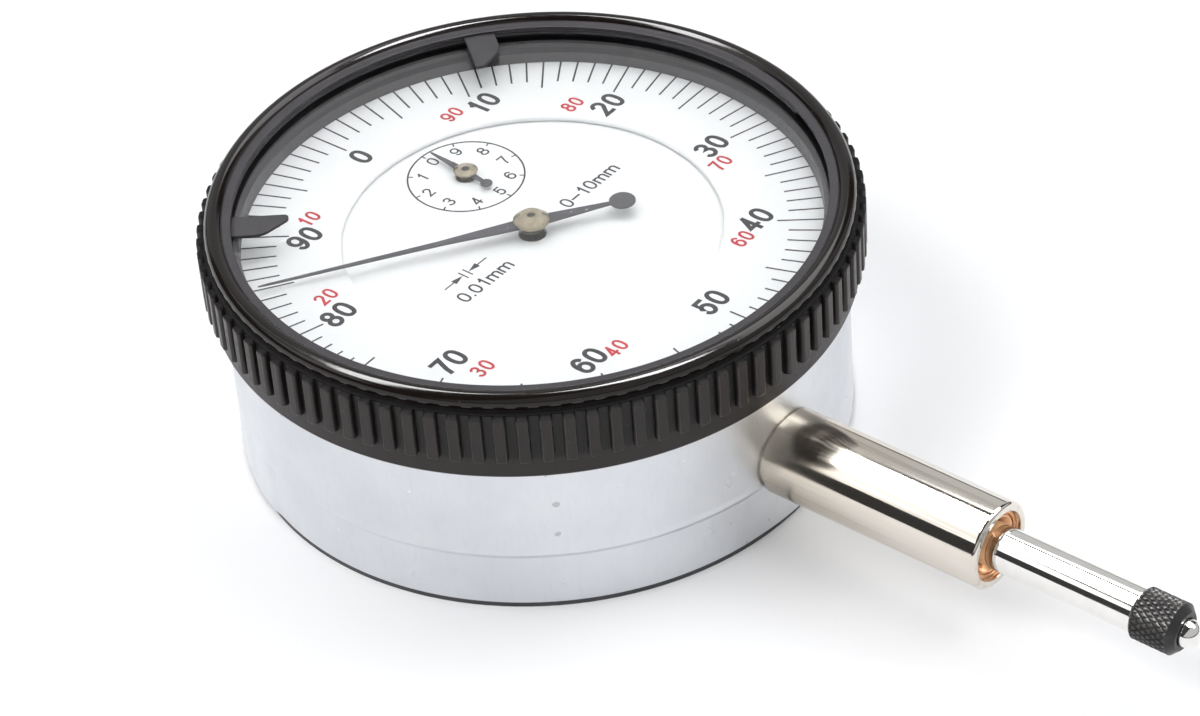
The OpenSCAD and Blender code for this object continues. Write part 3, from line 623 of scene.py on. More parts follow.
def make_case():
    wall = [CASE_TOP - 0.35 - WALL_STEP * i for i in range(1, WALL_ROWS + 1)]
    wall = [z for z in wall if z > COVER_EDGE + 2 * WALL_STEP]
    foot = [(COVER_SEAT_R, COVER_EDGE, 0), (CASE_R, COVER_EDGE, 0), (CASE_R, wall[-1], 0)]
    outer = rounded(foot, closed=False)
    outer += [(CASE_R, z) for z in reversed(wall[:-1])]
    inner = [
        (CASE_R, CASE_TOP, 0.3),
        (NECK_R, CASE_TOP, 0.05),
        (NECK_R, NECK_TOP, 0.15),
        (NECK_BORE_R, NECK_TOP, 0.15),
        (NECK_BORE_R, SHELF_HIGH, 0),
        (SHELF_R, SHELF_HIGH, 0.1),
        (SHELF_R, SHELF_LOW, 0.1),
        (COVER_SEAT_R, SHELF_LOW, 0),
    ]
    top = rounded([(CASE_R, wall[0], 0), *inner, (COVER_SEAT_R, COVER_EDGE, 0)], closed=False)
    profile = outer + top[1:-1]
    verts, faces = lathe(profile, about_z(), 360, shape=case_shape)
    case = piece("case_body", verts, faces, "case", "satin_chrome", replaces=["case"])
    near, far = 20, 30
    bore = [(0, near), (STEM_ROOT_R, near), (STEM_ROOT_R, far), (0, far)]
    top_r = node_box("top_bush")[1].x
    top_bore = [(0, -far), (top_r, -far), (top_r, -near), (0, -near)]
    cut_with(case, [lathe(p, about_stem, 96, closed=False) for p in (bore, top_bore)])


STEM_BORE_R = 2.6
BUSH_RUNNING_GAP = 0.03
BUSH_FIT_R = BUSH_R - 0.005
GROOVE_OUT_R, GROOVE_IN_R, GROOVE_DEEP = 2.86, 2.66, 0.25
CAP_BORE_R, CAP_BORE_END = 3.02, 31.1
CAP_HOLE_R, CAP_HOLE_END = 2.3, 34.2
CAP_GROOVE = 0.12


def make_stem():
    deep = BUSH_FACE - BUSH_LEN
    stem = [
        (STEM_BORE_R, STEM_ROOT, 0),
        (STEM_ROOT_R, STEM_ROOT, 0.1),
        (STEM_ROOT_R, STEM_SEAM, 0),
        (STEM_R, STEM_SEAM, 0.05),
        (STEM_R, STEM_END, 0.6),
        (BUSH_R, STEM_END, 0.12),
        (BUSH_R, deep, 0),
        (STEM_BORE_R, deep, 0),
    ]
    turned("stem_tube", rounded(stem, 8), "case", "bright_chrome", about_stem, replaces=["stem"])
    hole = SPINDLE_R + BUSH_RUNNING_GAP
    bush = [
        (hole, deep, 0),
        (BUSH_FIT_R, deep, 0),
        (BUSH_FIT_R, BUSH_FACE, 0.08),
        (GROOVE_OUT_R, BUSH_FACE, 0.03),
        (GROOVE_OUT_R - 0.04, BUSH_FACE - GROOVE_DEEP, 0.03),
        (GROOVE_IN_R + 0.04, BUSH_FACE - GROOVE_DEEP, 0.03),
        (GROOVE_IN_R, BUSH_FACE, 0.03),
        (2.5, BUSH_FACE, 0.05),
        (hole, BUSH_FACE - 0.5, 0.05),
    ]
    turned("stem_bush_ring", rounded(bush, 3), "case", "bronze", about_stem, replaces=["stem_bush"])
    cap_r = CAP_HIGH.x
    cap_end, cap_foot = -CAP_HIGH.y, -CAP_LOW.y
    cap = [
        (0, cap_end, 0),
        (cap_r - 0.5, cap_end, 0.25),
        (cap_r, cap_end + 0.5, 0.25),
        (cap_r, cap_foot - 1.0, 0.05),
        (cap_r - CAP_GROOVE, cap_foot - 0.85, 0.05),
        (cap_r - CAP_GROOVE, cap_foot - 0.6, 0.05),
        (cap_r, cap_foot - 0.45, 0.05),
        (cap_r, cap_foot, 0.08),
        (CAP_BORE_R, cap_foot, 0),
        (CAP_BORE_R, -CAP_BORE_END, 0),
        (CAP_HOLE_R, -CAP_BORE_END, 0),
        (CAP_HOLE_R, -CAP_HOLE_END, 0),
        (0, -CAP_HOLE_END, 0),
    ]
    turned("dust_cap_shell", rounded(cap, 4, closed=False), "case", "bright_chrome", about_stem,
           closed=False, replaces=["dust_cap"])


# ---- spindle and contact

VISIBLE_FROM = 26.0
KNURL_LINES = 26
KNURL_PITCH = 0.95
KNURL_DEPTH = 0.13
KNURL_ROWS = 84
COLUMNS_PER_LINE = 14
GROOVE_SHARE = 0.62
BALL_ROWS = 40


def make_spindle():
    rod = [(0, VISIBLE_FROM, 0), (SPINDLE_R, VISIBLE_FROM, 0), (SPINDLE_R, SPINDLE_END, 0.12),
           (0, SPINDLE_END, 0)]
    turned("spindle_rod", rounded(rod, 4, closed=False), "plunger", "hard_steel", about_stem,
           closed=False, replaces=["spindle"])
    source = frame["nodes"]["spindle"].data
    rack = bmesh.new()
    rack.from_mesh(source)
    bmesh.ops.bisect_plane(rack, geom=rack.verts[:] + rack.edges[:] + rack.faces[:],
                           dist=1e-7, plane_co=(0, -VISIBLE_FROM * MM, 0), plane_no=(0, -1, 0),
                           clear_outer=True)
    verts = [tuple(v.co / MM) for v in rack.verts]
    rack.verts.ensure_lookup_table()
    faces = [[v.index for v in f.verts] for f in rack.faces]
    rack.free()
    piece("spindle_rack", verts, faces, "plunger", "hard_steel")


def groove(phase):
    """1 at a groove's bottom, 0 on the flat between."""
    away = abs((phase % 1.0) - 0.5) * 2
    return max(0.0, 1 - (1 - away) / GROOVE_SHARE) if away > 1 - GROOVE_SHARE else 0.0


def make_contact():
    nose = COLLAR_END - 0.6
    foot = SPINDLE_END + 0.2
    knurl_rows = [(COLLAR_R, foot + (nose - foot) * k / KNURL_ROWS) for k in range(KNURL_ROWS + 1)]
    seat = math.sqrt(BALL_R ** 2 - (BALL_AT - COLLAR_END) ** 2) + 0.06
    profile = [
        (0, SPINDLE_END),
        (COLLAR_R - 0.3, SPINDLE_END),
        (COLLAR_R - 0.16, SPINDLE_END + 0.03),
        *knurl_rows,
        (COLLAR_R - 0.03, nose + 0.02),
        (COLLAR_R - 0.56, COLLAR_END - 0.05),
        (COLLAR_R - 0.62, COLLAR_END),
        (seat + 0.05, COLLAR_END),
        (seat, COLLAR_END - 0.03),
        (seat - 0.1, COLLAR_END - 0.3),
        (0, COLLAR_END - 0.3),
    ]
    wear_and_highlight = []

    def knurl(r, h, a, row):
        if not foot - 0.01 <= h <= nose + 0.01 or r < COLLAR_R - 0.01:
            wear_and_highlight.append(0.0)
            return r
        turn = a / TAU * KNURL_LINES
        cut = max(groove(turn + h / KNURL_PITCH), groove(turn - h / KNURL_PITCH))
        edge = min(1.0, (h - foot) / 0.12, (nose - h) / 0.12)
        wear_and_highlight.append(1 - cut)
        return r - KNURL_DEPTH * cut * max(0.0, edge)

    segments = KNURL_LINES * COLUMNS_PER_LINE
    verts, faces = lathe(profile, about_stem, segments, closed=False, shape=knurl)
    wear_and_highlight = [0.0] + wear_and_highlight + [0.0]
    piece("contact_collar", verts, faces, "plunger", "black_oxide", replaces=["contact_holder"],
          wear_and_highlight=wear_and_highlight, smooth=30)
    turns = [math.pi * k / BALL_ROWS for k in range(BALL_ROWS + 1)]
    ball = [(BALL_R * math.sin(a), BALL_AT - BALL_R * math.cos(a)) for a in turns]
    ball[0], ball[-1] = (0, ball[0][1]), (0, ball[-1][1])
    turned("contact_tip", ball, "plunger", "hard_steel", about_stem, 80, closed=False,
           replaces=["contact_ball"], smooth=60)


# ---- bezel and what turns with it

RIB_Z = 17.6
RIB_TOP = 22.45
DRUM_R = 29.0
RIB_HALF = 0.29
RIB_CORNER = 0.28
RIB_EDGE = 0.2
# Columns across half a rib, as shares of the pitch, and rows up from a rib's end, in millimetres
RIB_COLUMNS = (0.0, 0.12, 0.17, 0.195, 0.215, 0.235, 0.252, 0.268, 0.28, 0.29, 0.30, 0.36, 0.44,
               0.5)
RIB_ROWS = (-0.03, 0.0, 0.03, 0.07, 0.11, 0.15, 0.2, 0.26, 0.34, 0.6)
BEZEL_NECK_R = 28.68
BEAD_RING, BEAD_R = 27.95, 0.85
LIP_R, LIP_LOW, LIP_TOP = 26.4, 23.4, 23.6


def bezel_angles():
    """Angles of the bezel's columns, each with its distance from its rib's middle."""
    pitch = TAU / RIB_COUNT
    across = [-u for u in RIB_COLUMNS[-2:0:-1]] + list(RIB_COLUMNS)
    return [(pitch * (i + u), abs(u) * pitch * RIB_R) for i in range(RIB_COUNT) for u in across]


def rib_height(across, z):
    """How far a rib stands out, from 0 to 1: a bar with round corners and soft edges."""
    half = RIB_HALF * TAU / RIB_COUNT * RIB_R
    over = across - (half - RIB_CORNER)
    past = max(RIB_Z + RIB_CORNER - z, z - (RIB_TOP - RIB_CORNER))
    inside = RIB_CORNER - math.hypot(max(over, 0), max(past, 0)) - min(0, max(over, past))
    lift = min(1.0, max(0.0, inside / RIB_EDGE))
    return math.sqrt(1 - (1 - lift) ** 2)


def make_bezel():
    bead_z = BEZEL_TOP - BEAD_R
    lower = rounded([(BORE_R, BEZEL_Z, 0), (DRUM_R, BEZEL_Z, 0.22), (DRUM_R, RIB_Z - 0.3, 0)], 6,
                    closed=False)
    rib_rows = [RIB_Z + z for z in RIB_ROWS] + [20.0] + [RIB_TOP - z for z in RIB_ROWS[:0:-1]]
    ribs = [(DRUM_R, z) for z in rib_rows]
    neck = rounded([(DRUM_R, RIB_TOP - 0.04, 0), (DRUM_R, RIB_TOP, 0.04),
                    (BEZEL_NECK_R, RIB_TOP + 0.05, 0.05), (BEZEL_NECK_R - 0.06, RIB_TOP + 0.3, 0)],
                   4, closed=False)
    bead = [(BEAD_RING + BEAD_R * math.cos(a), bead_z + BEAD_R * math.sin(a))
            for a in (math.radians(-32 + 8 * i) for i in range(22))]
    lip = rounded([(27.26, LIP_TOP + 0.12, 0), (27.16, LIP_TOP + 0.02, 0.05),
                   (LIP_R, LIP_TOP, 0.06), (LIP_R, LIP_LOW, 0.05), (BORE_R, LIP_LOW, 0),
                   (BORE_R, BEZEL_Z, 0)], 4, closed=False)
    profile = supported(lower, False) + ribs + neck[1:] + bead + supported(lip, False)[:-1]
    first = len(supported(lower, False))
    columns = bezel_angles()
    angles = [a for a, across in columns]
    offset = {round(a, 9): across for a, across in columns}
    wear_and_highlight, rib_gap_shade = [], []

    def shape(r, h, a, row):
        if not first <= row < first + len(ribs):
            # Painted highlight: a pale line along the collar's edge above the ribs
            wear_and_highlight.append(0.2 if abs(h - RIB_TOP) < 0.03 and r > DRUM_R - 0.1 else 0.0)
            rib_gap_shade.append(0.0)
            return r
        stand = rib_height(offset[round(a, 9)], h)
        # Rib edges lighter: partly wear, partly painted highlight
        wear_and_highlight.append(0.5 if 0.5 < stand < 0.99 and h < RIB_TOP - RIB_CORNER else 0.0)
        # Painted shade in the gaps between the ribs, fading in above the ribs' lower ends
        rib_gap_shade.append((1 - stand) * smoothstep(h, RIB_Z, RIB_Z + RIB_CORNER))
        return DRUM_R + (RIB_R - DRUM_R) * stand

    verts, faces = lathe(profile, about_z(), angles=angles, shape=shape)
    made = piece("bezel_body", verts, faces, "bezel", "bezel_black", replaces=["bezel"],
                 wear_and_highlight=wear_and_highlight, smooth=50)
    made.data.attributes.new("rib_gap_shade", "FLOAT", "POINT").data.foreach_set("value", rib_gap_shade)
    made.data.materials.append(BEZEL_SATIN)
    made.data.materials.append(BEZEL_LIP)
    made.data.materials.append(BEZEL_SHADE)
    for face in made.data.polygons:
        centre = face.center / MM
        ring = math.hypot(centre.x, centre.y)
        if centre.z > LIP_LOW - 0.1 and ring < BORE_R - 0.03:
            face.material_index = 2
        # Painted shade: the rib tops and the neck above them take the darker bezel_shade
        elif RIB_TOP - 0.12 < centre.z < RIB_TOP + 0.3 and ring > 28:
            face.material_index = 3
        elif centre.z < RIB_TOP or ring < BORE_R - 0.03:
            face.material_index = 1


DIAL_SEGMENTS = 256


def make_dial():
    crystal = [
        (0, CRYSTAL_LOW.z, 0),
        (RING_R, CRYSTAL_LOW.z, 0.1),
        (RING_R, CRYSTAL_HIGH.z, 0.15),
        (0, CRYSTAL_HIGH.z, 0),
    ]
    turned("crystal_sheet", rounded(crystal, 4, closed=False), "bezel", "crystal_clear",
           segments=DIAL_SEGMENTS, closed=False, replaces=["crystal"])
    spacer = [
        (SPACER_IN_R, SPACER_LOW.z, 0.05),
        (RING_R, SPACER_LOW.z, 0),
        (RING_R, SPACER_HIGH.z, 0),
        (SPACER_IN_R + 0.45, SPACER_HIGH.z, 0.1),
        (SPACER_IN_R, SPACER_HIGH.z - 0.45, 0.1),
    ]
    turned("spacer_wall", rounded(spacer, 4), "bezel", "ring_black", segments=DIAL_SEGMENTS,
           replaces=["spacer_ring"])
    scale = [
        (SCALE_IN_R, SCALE_LOW.z, 0.05),
        (RING_R, SCALE_LOW.z, 0),
        (RING_R, SCALE_HIGH.z, 0),
        (SCALE_IN_R, SCALE_HIGH.z, 0.28),
    ]
    turned("scale_disc", rounded(scale, 4), "bezel", "dial_white", segments=DIAL_SEGMENTS,
           replaces=["scale_ring"])


def bow(radius, start, stop, count):
    """Points on a circle about the origin, between two angles."""
    angles = [start + (stop - start) * i / count for i in range(count + 1)]
    return [(radius * math.cos(a), radius * math.sin(a)) for a in angles]


def limit_outline(side):
    """Split ring with a tab whose straight edge lies on +X; side is the way the tab's body lies."""
    ring_out, ring_in, gap = 27.2, 26.5, math.radians(155)
    tip, width = 21.35, 2.85
    root = math.asin(width / ring_in)
    bend = 2.2
    tab = rounded([(ring_in * math.cos(root), width, 0), (tip + bend, width, bend),
                   (tip, 0.75, 0.5), (tip, 0.0, 0.42), (ring_in, 0.0, 0)], 8, closed=False)
    outer = bow(ring_out, -gap, gap, 150)
    inner = bow(ring_in, gap, root, 72)[:-1]
    outline = outer + inner + tab[:-1] + bow(ring_in, 0, -gap, 75)
    if side < 0:
        outline = [(x, -y) for x, y in reversed(outline)]
    return outline


def make_limit_hands():
    for name, side in (("left", 1), ("right", -1)):
        node = "limit_hand_" + name
        low, high = node_box(node)
        angle = math.pi / 2 + DIAL_TURN + side * LIMIT_ANGLE
        verts, faces = plate(limit_outline(side), low.z, high.z, 0.05)
        piece(node + "_ring", spin(verts, angle), faces, "limit_" + name, "ring_black",
              replaces=[node])


# ---- hands


def hand_outline(half_widths, tail_at, tail_r, neck):
    """Blade through (x, half width) points from tip to neck, with a round tail."""
    meet = math.asin(neck / tail_r)
    upper = list(half_widths)
    tail = [(-tail_at + tail_r * math.cos(a), tail_r * math.sin(a))
            for a in (meet + (TAU - 2 * meet) * i / 40 for i in range(41))]
    return upper + tail + [(x, -w) for x, w in reversed(upper)]


def make_hands():
    low, high = node_box("main_hand")
    blade = [(25.0, 0.03), (24.2, 0.12), (8.5, 0.33), (1.2, 0.72), (-1.2, 0.72)]
    verts, faces = plate(hand_outline(blade, 8.45, 1.2, 0.24), low.z, high.z, 0.03)
    piece("main_hand_blade", spin(verts, HAND_ANGLE), faces, "pointer", "hand_black",
          replaces=["main_hand"])
    low, high = node_box("counter_hand")
    blade = [(4.66, 0.01), (4.46, 0.09), (0.5, 0.4), (-0.5, 0.34)]
    verts, faces = plate(hand_outline(blade, 2.69, 0.55, 0.19), low.z, high.z, 0.02)
    at = COUNTER_AT.x, COUNTER_AT.y
    piece("counter_hand_blade", spin(verts, COUNTER_ANGLE, *at), faces, "counter", "hand_black",
          replaces=["counter_hand"])
    make_hub("main_hub", "pointer", (0, 0), 1.0, node_box("main_hand")[1].z)
    make_hub("counter_hub", "counter", at, 0.7, node_box("counter_hand")[1].z)


def make_hub(node, body, at, sleeve_r, seat_z):
    """Sleeve with a bevelled button on top, and a black disc in its middle hole as painted shade.
    """
    low, high = node_box(node)
    button_r = (high.x - low.x) / 2
    rise = high.z - seat_z
    hole = 0.32
    profile = [
        (hole, low.z, 0),
        (sleeve_r, low.z, 0.05),
        (sleeve_r, low.z + 0.2, 0.04),
        (sleeve_r - 0.12, low.z + 0.26, 0.04),
        (sleeve_r - 0.12, seat_z - 0.12, 0.04),
        (sleeve_r + 0.1, seat_z, 0.03),
        (button_r - 0.1, seat_z, 0.04),
        (button_r, seat_z + 0.1, 0.04),
        (button_r, seat_z + 0.3 * rise, 0.03),
        (button_r * 0.6, seat_z + 0.95 * rise, 0.03),
        (hole + 0.12, high.z, 0.03),
        (hole + 0.02, high.z - 0.06, 0.02),
        (hole, high.z - 0.2, 0),
    ]
    turned(node + "_button", rounded(profile, 3), body, "hub_nickel", about_z(*at), 96,
           replaces=[node], material=hub_nickel(node + "_nickel", (*at, 0), low.z, seat_z, high.z))
    # Painted shade: a black disc a little way down the hole
    floor, ceiling = high.z - 0.12, high.z - 0.09
    shade_disc = [(0, floor, 0), (hole, floor, 0), (hole, ceiling, 0), (0, ceiling, 0)]
    turned(node + "_shade_disc", rounded(shade_disc, 3, closed=False), body, "black_oxide", about_z(*at), 48,
           closed=False)


# ---- ink: strokes, digits and marks

# Ink sinks a little into the face; strokes that cross lie a step apart
INK_LOW, INK_HIGH, INK_STEP = -0.004, 0.012, 0.0006


def arc(cx, cy, rx, ry, start, stop, count=18):
    """Elliptic arc between two angles in degrees."""
    turn = [math.radians(start + (stop - start) * i / count) for i in range(count + 1)]
    return [(cx + rx * math.cos(a), cy + ry * math.sin(a)) for a in turn]


def oval():
    """Closed upright oval with fuller shoulders than an ellipse."""
    power = 2 / 2.35
    turn = [TAU * i / 40 for i in range(40)]
    return [(math.copysign(abs(math.cos(a)) ** power, math.cos(a)),
             0.5 + 0.5 * math.copysign(abs(math.sin(a)) ** power, math.sin(a))) for a in turn]


def flip(strokes):
    return [([(-x, 1 - y) for x, y in points], *ends) for points, *ends in strokes]


SIX = [(arc(0, 0.315, 1, 0.315, 0, 360, 36)[:-1], "loop", 0),
       (arc(0.02, 0.52, 1.02, 0.48, 32, 200), 0, 0)]
# Strokes in a box from x -1 to 1 and y 0 to 1, each with how far its two ends are lengthened, in
# half strokes
GLYPHS = {
    "0": [(oval(), "loop", 0)],
    "1": [([(0.35, 0), (0.35, 1)], 1, 1), ([(-0.55, 0.74), (-0.05, 0.82), (0.3, 0.99)], 0.3, 0)],
    "2": [(arc(0, 0.72, 0.93, 0.28, 172, -28) + [(-0.92, 0.0), (1.0, 0.0)], 0, 0.6)],
    "3": [(arc(-0.04, 0.765, 0.86, 0.235, 165, -90) + arc(-0.04, 0.27, 0.98, 0.27, 80, -168),
           0, 0)],
    "4": [([(0.42, 0.98), (-0.98, 0.27), (1.0, 0.27)], 0, 1), ([(0.42, 0), (0.42, 1)], 1, 0.9)],
    "5": [([(0.82, 1.0), (-0.62, 1.0), (-0.82, 0.49)] + arc(-0.03, 0.335, 0.98, 0.335, 148, -165),
           1, 0)],
    "6": SIX,
    "7": [([(-1.0, 1.0), (1.0, 1.0), (0.45, 0.62), (0.02, 0.3), (-0.18, 0)], 0.6, 1)],
    "8": [(arc(0, 0.765, 0.82, 0.235, 0, 360, 30)[:-1], "loop", 0),
          (arc(0, 0.27, 1, 0.27, 0, 360, 30)[:-1], "loop", 0)],
    "9": flip(SIX),
    "m": [([(-1, 0), (-1, 0.66)], 1, 1), (arc(-0.5, 0.46, 0.5, 0.2, 180, 0, 12) + [(0, 0)], 0, 1),
          (arc(0.5, 0.46, 0.5, 0.2, 180, 0, 12) + [(1, 0)], 0, 1)],
    ".": [([(0, 0), (0, 0.001)], 1, 1)],
    "-": [([(-1, 0.42), (1, 0.42)], 1, 1)],
}
WIDTH = {"m": 1.45, ".": 0.3, "-": 1.1, "1": 0.9}


def ribbon(points, width, first, last, z0, z1):
    """A stroke as a thin closed strip.

    first is "loop" for a closed one; otherwise first and last are the ends' lengthening.
    """
    path = [Vector(p) for p in points]
    loop = first == "loop"
    if not loop:
        path[0] = path[0] + (path[0] - path[1]).normalized() * (first * width / 2)
        path[-1] = path[-1] + (path[-1] - path[-2]).normalized() * (last * width / 2)
    count = len(path)
    left, right = [], []
    for i, p in enumerate(path):
        back = path[i] - path[i - 1] if (i or loop) else path[1] - path[0]
        ahead = path[(i + 1) % count] - path[i] if (i < count - 1 or loop) else back
        back, ahead = back.normalized(), ahead.normalized()
        normal = Vector((-back.y, back.x)) + Vector((-ahead.y, ahead.x))
        normal.normalize()
        reach = width / 2 / max(0.45, normal.dot(Vector((-back.y, back.x))))
        left.append(p + normal * reach)
        right.append(p - normal * reach)
    verts = [(v.x, v.y, z) for z in (z0, z1) for pair in zip(left, right) for v in pair]
    faces = []
    top = 2 * count
    for i in range(count if loop else count - 1):
        a, b, c, d = 2 * i, 2 * i + 1, 2 * ((i + 1) % count) + 1, 2 * ((i + 1) % count)
        faces += [[a, b, c, d], [top + d, top + c, top + b, top + a]]
        faces += [[a, d, top + d, top + a], [b, top + b, top + c, c]]
    if not loop:
        e = 2 * (count - 1)
        faces += [[0, top, top + 1, 1], [e, e + 1, top + e + 1, top + e]]
    return verts, faces


def word(text, x, y, height, width, stroke, face_z, gap, angle=0.0, middle=0.5):
    """Text centred on (x, y), turned by angle: a list of strips."""
    widths = [width * WIDTH.get(c, 1.0) for c in text]
    pens = []
    pen = 0.0
    for w in widths:
        pens.append(pen + w / 2)
        pen += w + gap
    total = pens[-1] + widths[-1] / 2
    parts = []
    level = 0
    for glyph, across, at in zip(text, widths, pens):
        for points, first, last in GLYPHS[glyph]:
            half = max(0.0, (across - stroke) / 2)
            left, foot = at - total / 2, stroke / 2 - height * middle
            placed = [(left + px * half, foot + py * (height - stroke)) for px, py in points]
            level += 1
            top = face_z + INK_HIGH + INK_STEP * level
            verts, faces = ribbon(placed, stroke, first, last, face_z + INK_LOW, top)
            parts.append((spin(verts, angle, x, y), faces))
    return parts


def bar(r0, r1, angle, width, face_z, x=0.0, y=0.0):
    verts, faces = ribbon([(r0, 0), (r1, 0)], width, 0, 0, face_z + INK_LOW, face_z + INK_HIGH)
    return spin(verts, angle, x, y), faces


def printed(name, parts, body, material):
    verts, faces = merge(parts)
    return piece(name, verts, faces, body, None, material=material)


def clock(degrees):
    """Angle from +X of a clock angle, in degrees clockwise from 12 o'clock."""
    return math.radians(90 - degrees)


# Where each number is printed: clockwise angle from the dial's zero, and distance from the
# centre. Rounded results of measuring scripts run on the photograph.
BLACK_NUMBERS = {0: (0.0, 20.0), 10: (38.7, 20.3), 20: (72.3, 19.7), 30: (107.8, 19.6),
                 40: (143.3, 19.8), 50: (179.6, 19.6), 60: (217.5, 19.7), 70: (252.8, 19.6),
                 80: (289.0, 20.0), 90: (322.9, 20.3)}
RED_NUMBERS = {90: (29.4, 19.7), 80: (62.8, 19.1), 70: (115.9, 18.9), 60: (151.6, 18.8),
               40: (209.6, 19.0), 30: (244.0, 19.8), 20: (297.2, 19.8), 10: (331.1, 20.3)}
TICK_COUNT = 100
LONG_TICK_IN, SHORT_TICK_IN, TICK_OUT = 21.71, 22.75, 26.4
TICK_WIDTH = 0.175


def make_scale():
    ticks = []
    for i in range(TICK_COUNT):
        inner = LONG_TICK_IN if i % 5 == 0 else SHORT_TICK_IN
        at = clock(360 / TICK_COUNT * i) + DIAL_TURN
        ticks.append(bar(inner, TICK_OUT, at, TICK_WIDTH, FACE_Z))
    printed("scale_ticks", ticks, "bezel", INK_BLACK)
    for name, numbers, material, height, width, stroke in (
            ("scale_numbers", BLACK_NUMBERS, INK_BLACK, 2.42, 1.46, 0.42),
            ("scale_numbers_red", RED_NUMBERS, INK_RED, 1.62, 0.93, 0.25)):
        strips = []
        for number, (degrees, ring) in numbers.items():
            at = clock(degrees) + DIAL_TURN
            x, y = ring * math.cos(at), ring * math.sin(at)
            strips += word(str(number), x, y, height, width, stroke, FACE_Z, gap=0.2,
                           angle=DIAL_TURN)
        printed(name, strips, "bezel", material)


def moved_bar(start, stop, width, face_z):
    """A straight line of ink from start to stop."""
    return ribbon([start, stop], width, 0, 0, face_z + INK_LOW, face_z + INK_HIGH)


COUNTER_RING, COUNTER_TICK_IN, COUNTER_DIGIT_RING = 5.33, 4.85, 4.0
LABEL_HEIGHT, LABEL_WIDTH, LABEL_STROKE = 1.45, 0.95, 0.195
ARROW_MID, ARROW_Y, ARROW_HALF = -7.9, 1.1, 0.33


def make_inner_marks():
    """The turn counter's circle and digits, and the two labels with the division's arrows."""
    z = INNER_FACE_Z
    x0, y0 = COUNTER_AT.x, COUNTER_AT.y
    turns = [TAU * i / 120 for i in range(120)]
    ring = [(COUNTER_RING * math.cos(a), COUNTER_RING * math.sin(a)) for a in turns]
    verts, faces = ribbon(ring, 0.16, "loop", 0, z + INK_LOW, z + INK_HIGH)
    parts = [(spin(verts, 0, x0, y0), faces)]
    for k in range(10):
        at = clock(-36 * k)
        parts.append(bar(COUNTER_TICK_IN, COUNTER_RING, at, 0.14, z, x0, y0))
        x, y = x0 + COUNTER_DIGIT_RING * math.cos(at), y0 + COUNTER_DIGIT_RING * math.sin(at)
        parts += word(str(k), x, y, 1.28, 0.84, 0.17, z, gap=0.15)
    printed("counter_marks", parts, "case", INK_BLACK)
    size = LABEL_HEIGHT, LABEL_WIDTH, LABEL_STROKE
    label = word("0.01mm", -7.75, -1.0, *size, z, gap=0.15)
    label += word("0-10mm", 8.35, 0.3, *size, z, gap=0.15)
    for side in (-1, 1):
        near, back = ARROW_MID + side * 0.29, side * ARROW_HALF
        label.append(moved_bar((near, 0.5), (near, 1.72), 0.14, z))
        shaft = [(ARROW_MID + side * 1.2, ARROW_Y), (ARROW_MID + side * 2.8, ARROW_Y)]
        label.append(moved_bar(*shaft, 0.14, z))
        head = [(near + side * 0.1, ARROW_Y), (near + side * 1.3, ARROW_Y + back),
                (near + side * 1.3, ARROW_Y - back)]
        label.append(plate(head, z + INK_LOW, z + INK_HIGH + 0.001))
    printed("dial_labels", label, "case", INK_BLACK)


# ---- CAD nodes that stay


def dress_nodes():
    """Gives every CAD node that stays the material of its slot in the record."""
    slots = {s["node"]: s["material_slot"] for s in frame["record"]["subparts"]}
    for name, node in frame["nodes"].items():
        if node.hide_render:
            continue
        node.data.materials.clear()
        node.data.materials.append(LOOKS[slots[name]])


make_case()
make_stem()
make_spindle()
make_contact()
make_bezel()
make_dial()
make_limit_hands()
make_hands()
make_scale()
make_inner_marks()
dress_nodes()


# ---- floor, light and camera


def stage_sheet(name, size, material):
    mesh = bpy.data.meshes.new(name)
    w, h = size
    mesh.from_pydata([(-w, -h, 0), (w, -h, 0), (w, h, 0), (-w, h, 0)], [], [(0, 1, 2, 3)])
    mesh.materials.append(material)
    made = bpy.data.objects.new(name, mesh)
    bpy.context.scene.collection.objects.link(made)
    return made


def make_floor():
    m = Material("floor_white", (0.92, 0.92, 0.925), 0.0, 0.7)
    m.roughen(m.noise(0.02, 3), 0.6, 0.8)
    m.stain(m.noise(0.01, 3), (0.90, 0.90, 0.91), 0.5)
    floor = stage_sheet("floor", (3, 3), m.material)
    floor.location = (0, 0, 0)


def aim(made, at, target):
    """Places an object at a point and turns its -Z towards target, both in millimetres."""
    at, target = Vector(at) * MM, Vector(target) * MM
    made.location = at
    made.rotation_mode = "QUATERNION"
    made.rotation_quaternion = (target - at).to_track_quat("-Z", "Y")


def softbox(name, at, size, power, colour=(1, 1, 1), target=(0, -10, 10)):
    data = bpy.data.lights.new(name, "AREA")
    data.shape = "RECTANGLE"
    data.size, data.size_y = size[0] * MM, size[1] * MM
    data.energy = power
    data.color = colour
    made = bpy.data.objects.new(name, data)
    bpy.context.scene.collection.objects.link(made)
    aim(made, at, target)
    return made


PANEL_Z = 1000
DOME, DOME_IN_GLOSS = 0.74, 0.05
KEY_AT, KEY_SIZE, KEY_POWER = (-260, 120, 420), (300, 260), 1.1
FILL_AT, FILL_SIZE, FILL_POWER = (330, -160, 330), (240, 240), 0.55
# Panels that show in reflections: from and to x / z, from and to y / z, and radiance
PANELS = {
    "panel_bright": (-0.6, 0.3, 0.34, 0.62, 25),
    "panel_near": (0.1, 0.36, -0.42, 0.1, 40),
    "panel_back": (-0.42, 0.08, 0.62, 1.7, 1.1),
    "panel_back_left": (-1.8, -0.62, 0.5, 1.7, 1.7),
    "panel_side": (0.5, 1.2, -1.0, 0.5, 4),
    "panel_right": (0.2, 12.0, 0.5, 8.0, 0.6),
    "panel_front": (-8.0, 8.0, -8.0, -0.5, 0.55),
}


def light_for(made, gloss):
    """Lets a light either fill softly or show in reflections, not both."""
    made.visible_transmission = False
    made.visible_glossy = gloss
    made.visible_diffuse = not gloss


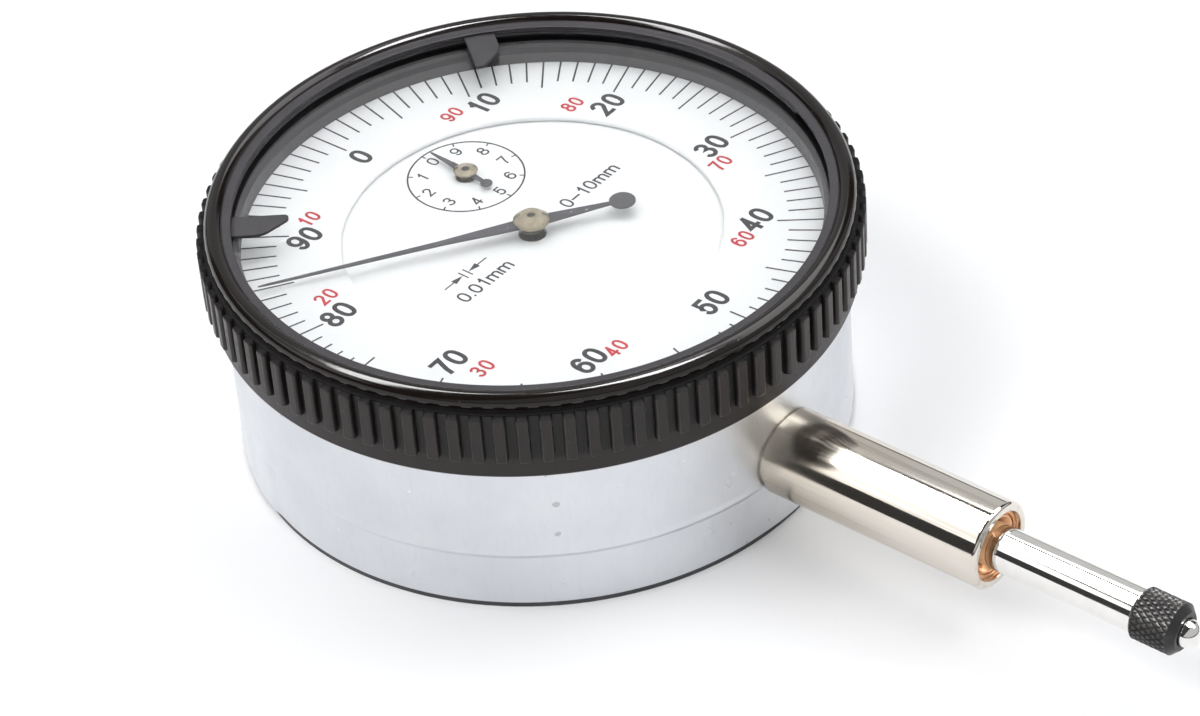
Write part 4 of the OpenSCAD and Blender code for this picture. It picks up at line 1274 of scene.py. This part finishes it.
def panel(name, x0, x1, y0, y1, radiance):
    """Ceiling panel seen in reflections; its sides are slopes from the object, x or y over z."""
    size = ((x1 - x0) * PANEL_Z, (y1 - y0) * PANEL_Z)
    at = ((x0 + x1) / 2 * PANEL_Z, (y0 + y1) / 2 * PANEL_Z, PANEL_Z)
    power = radiance * math.pi * size[0] * size[1] * MM * MM
    made = softbox(name, at, size, power, target=(at[0], at[1], 0))
    light_for(made, gloss=True)


def make_light():
    """A bright dome that is dark in reflections, where a few panels show instead."""
    world = bpy.data.worlds.new("studio")
    bpy.context.scene.world = world
    world.use_nodes = True
    world.cycles.sampling_method = "NONE"
    tree = world.node_tree
    background = tree.nodes["Background"]
    background.inputs["Color"].default_value = (0.97, 0.98, 1.0, 1)
    path = tree.nodes.new("ShaderNodeLightPath")
    mirrored = tree.nodes.new("ShaderNodeMath")
    mirrored.operation = "MULTIPLY"
    tree.links.new(path.outputs["Is Glossy Ray"], mirrored.inputs[0])
    tree.links.new(path.outputs["Is Reflection Ray"], mirrored.inputs[1])
    level = tree.nodes.new("ShaderNodeMapRange")
    level.inputs["To Min"].default_value = DOME
    level.inputs["To Max"].default_value = DOME_IN_GLOSS
    tree.links.new(mirrored.outputs["Value"], level.inputs["Value"])
    tree.links.new(level.outputs["Result"], background.inputs["Strength"])
    light_for(softbox("key_box", KEY_AT, KEY_SIZE, KEY_POWER), gloss=False)
    light_for(softbox("fill_box", FILL_AT, FILL_SIZE, FILL_POWER), gloss=False)
    for name, sides in PANELS.items():
        panel(name, *sides)


CAMERA_AT = (-202.403, -187.263, 225.517)
CAMERA_TARGET = (-1.586, -8.233, 10.0)
CAMERA_ROLL = math.radians(-4.5)
CAMERA_LENS = 116.32


def make_camera():
    data = bpy.data.cameras.new("camera")
    data.lens = CAMERA_LENS
    data.sensor_width = 36
    data.clip_start, data.clip_end = 0.01, 10
    camera = bpy.data.objects.new("camera", data)
    bpy.context.scene.collection.objects.link(camera)
    at = Vector(CAMERA_AT)
    forward = (Vector(CAMERA_TARGET) - at).normalized()
    level = forward.cross(Vector((0, 0, 1))).normalized()
    over = level.cross(forward)
    right = level * math.cos(CAMERA_ROLL) + over * math.sin(CAMERA_ROLL)
    up = right.cross(forward)
    basis = Matrix((right, up, -forward)).transposed().to_4x4()
    camera.matrix_world = Matrix.Translation(at * MM) @ basis
    bpy.context.scene.camera = camera


make_floor()
make_light()
make_camera()
bpy.context.scene.view_settings.view_transform = "Standard"
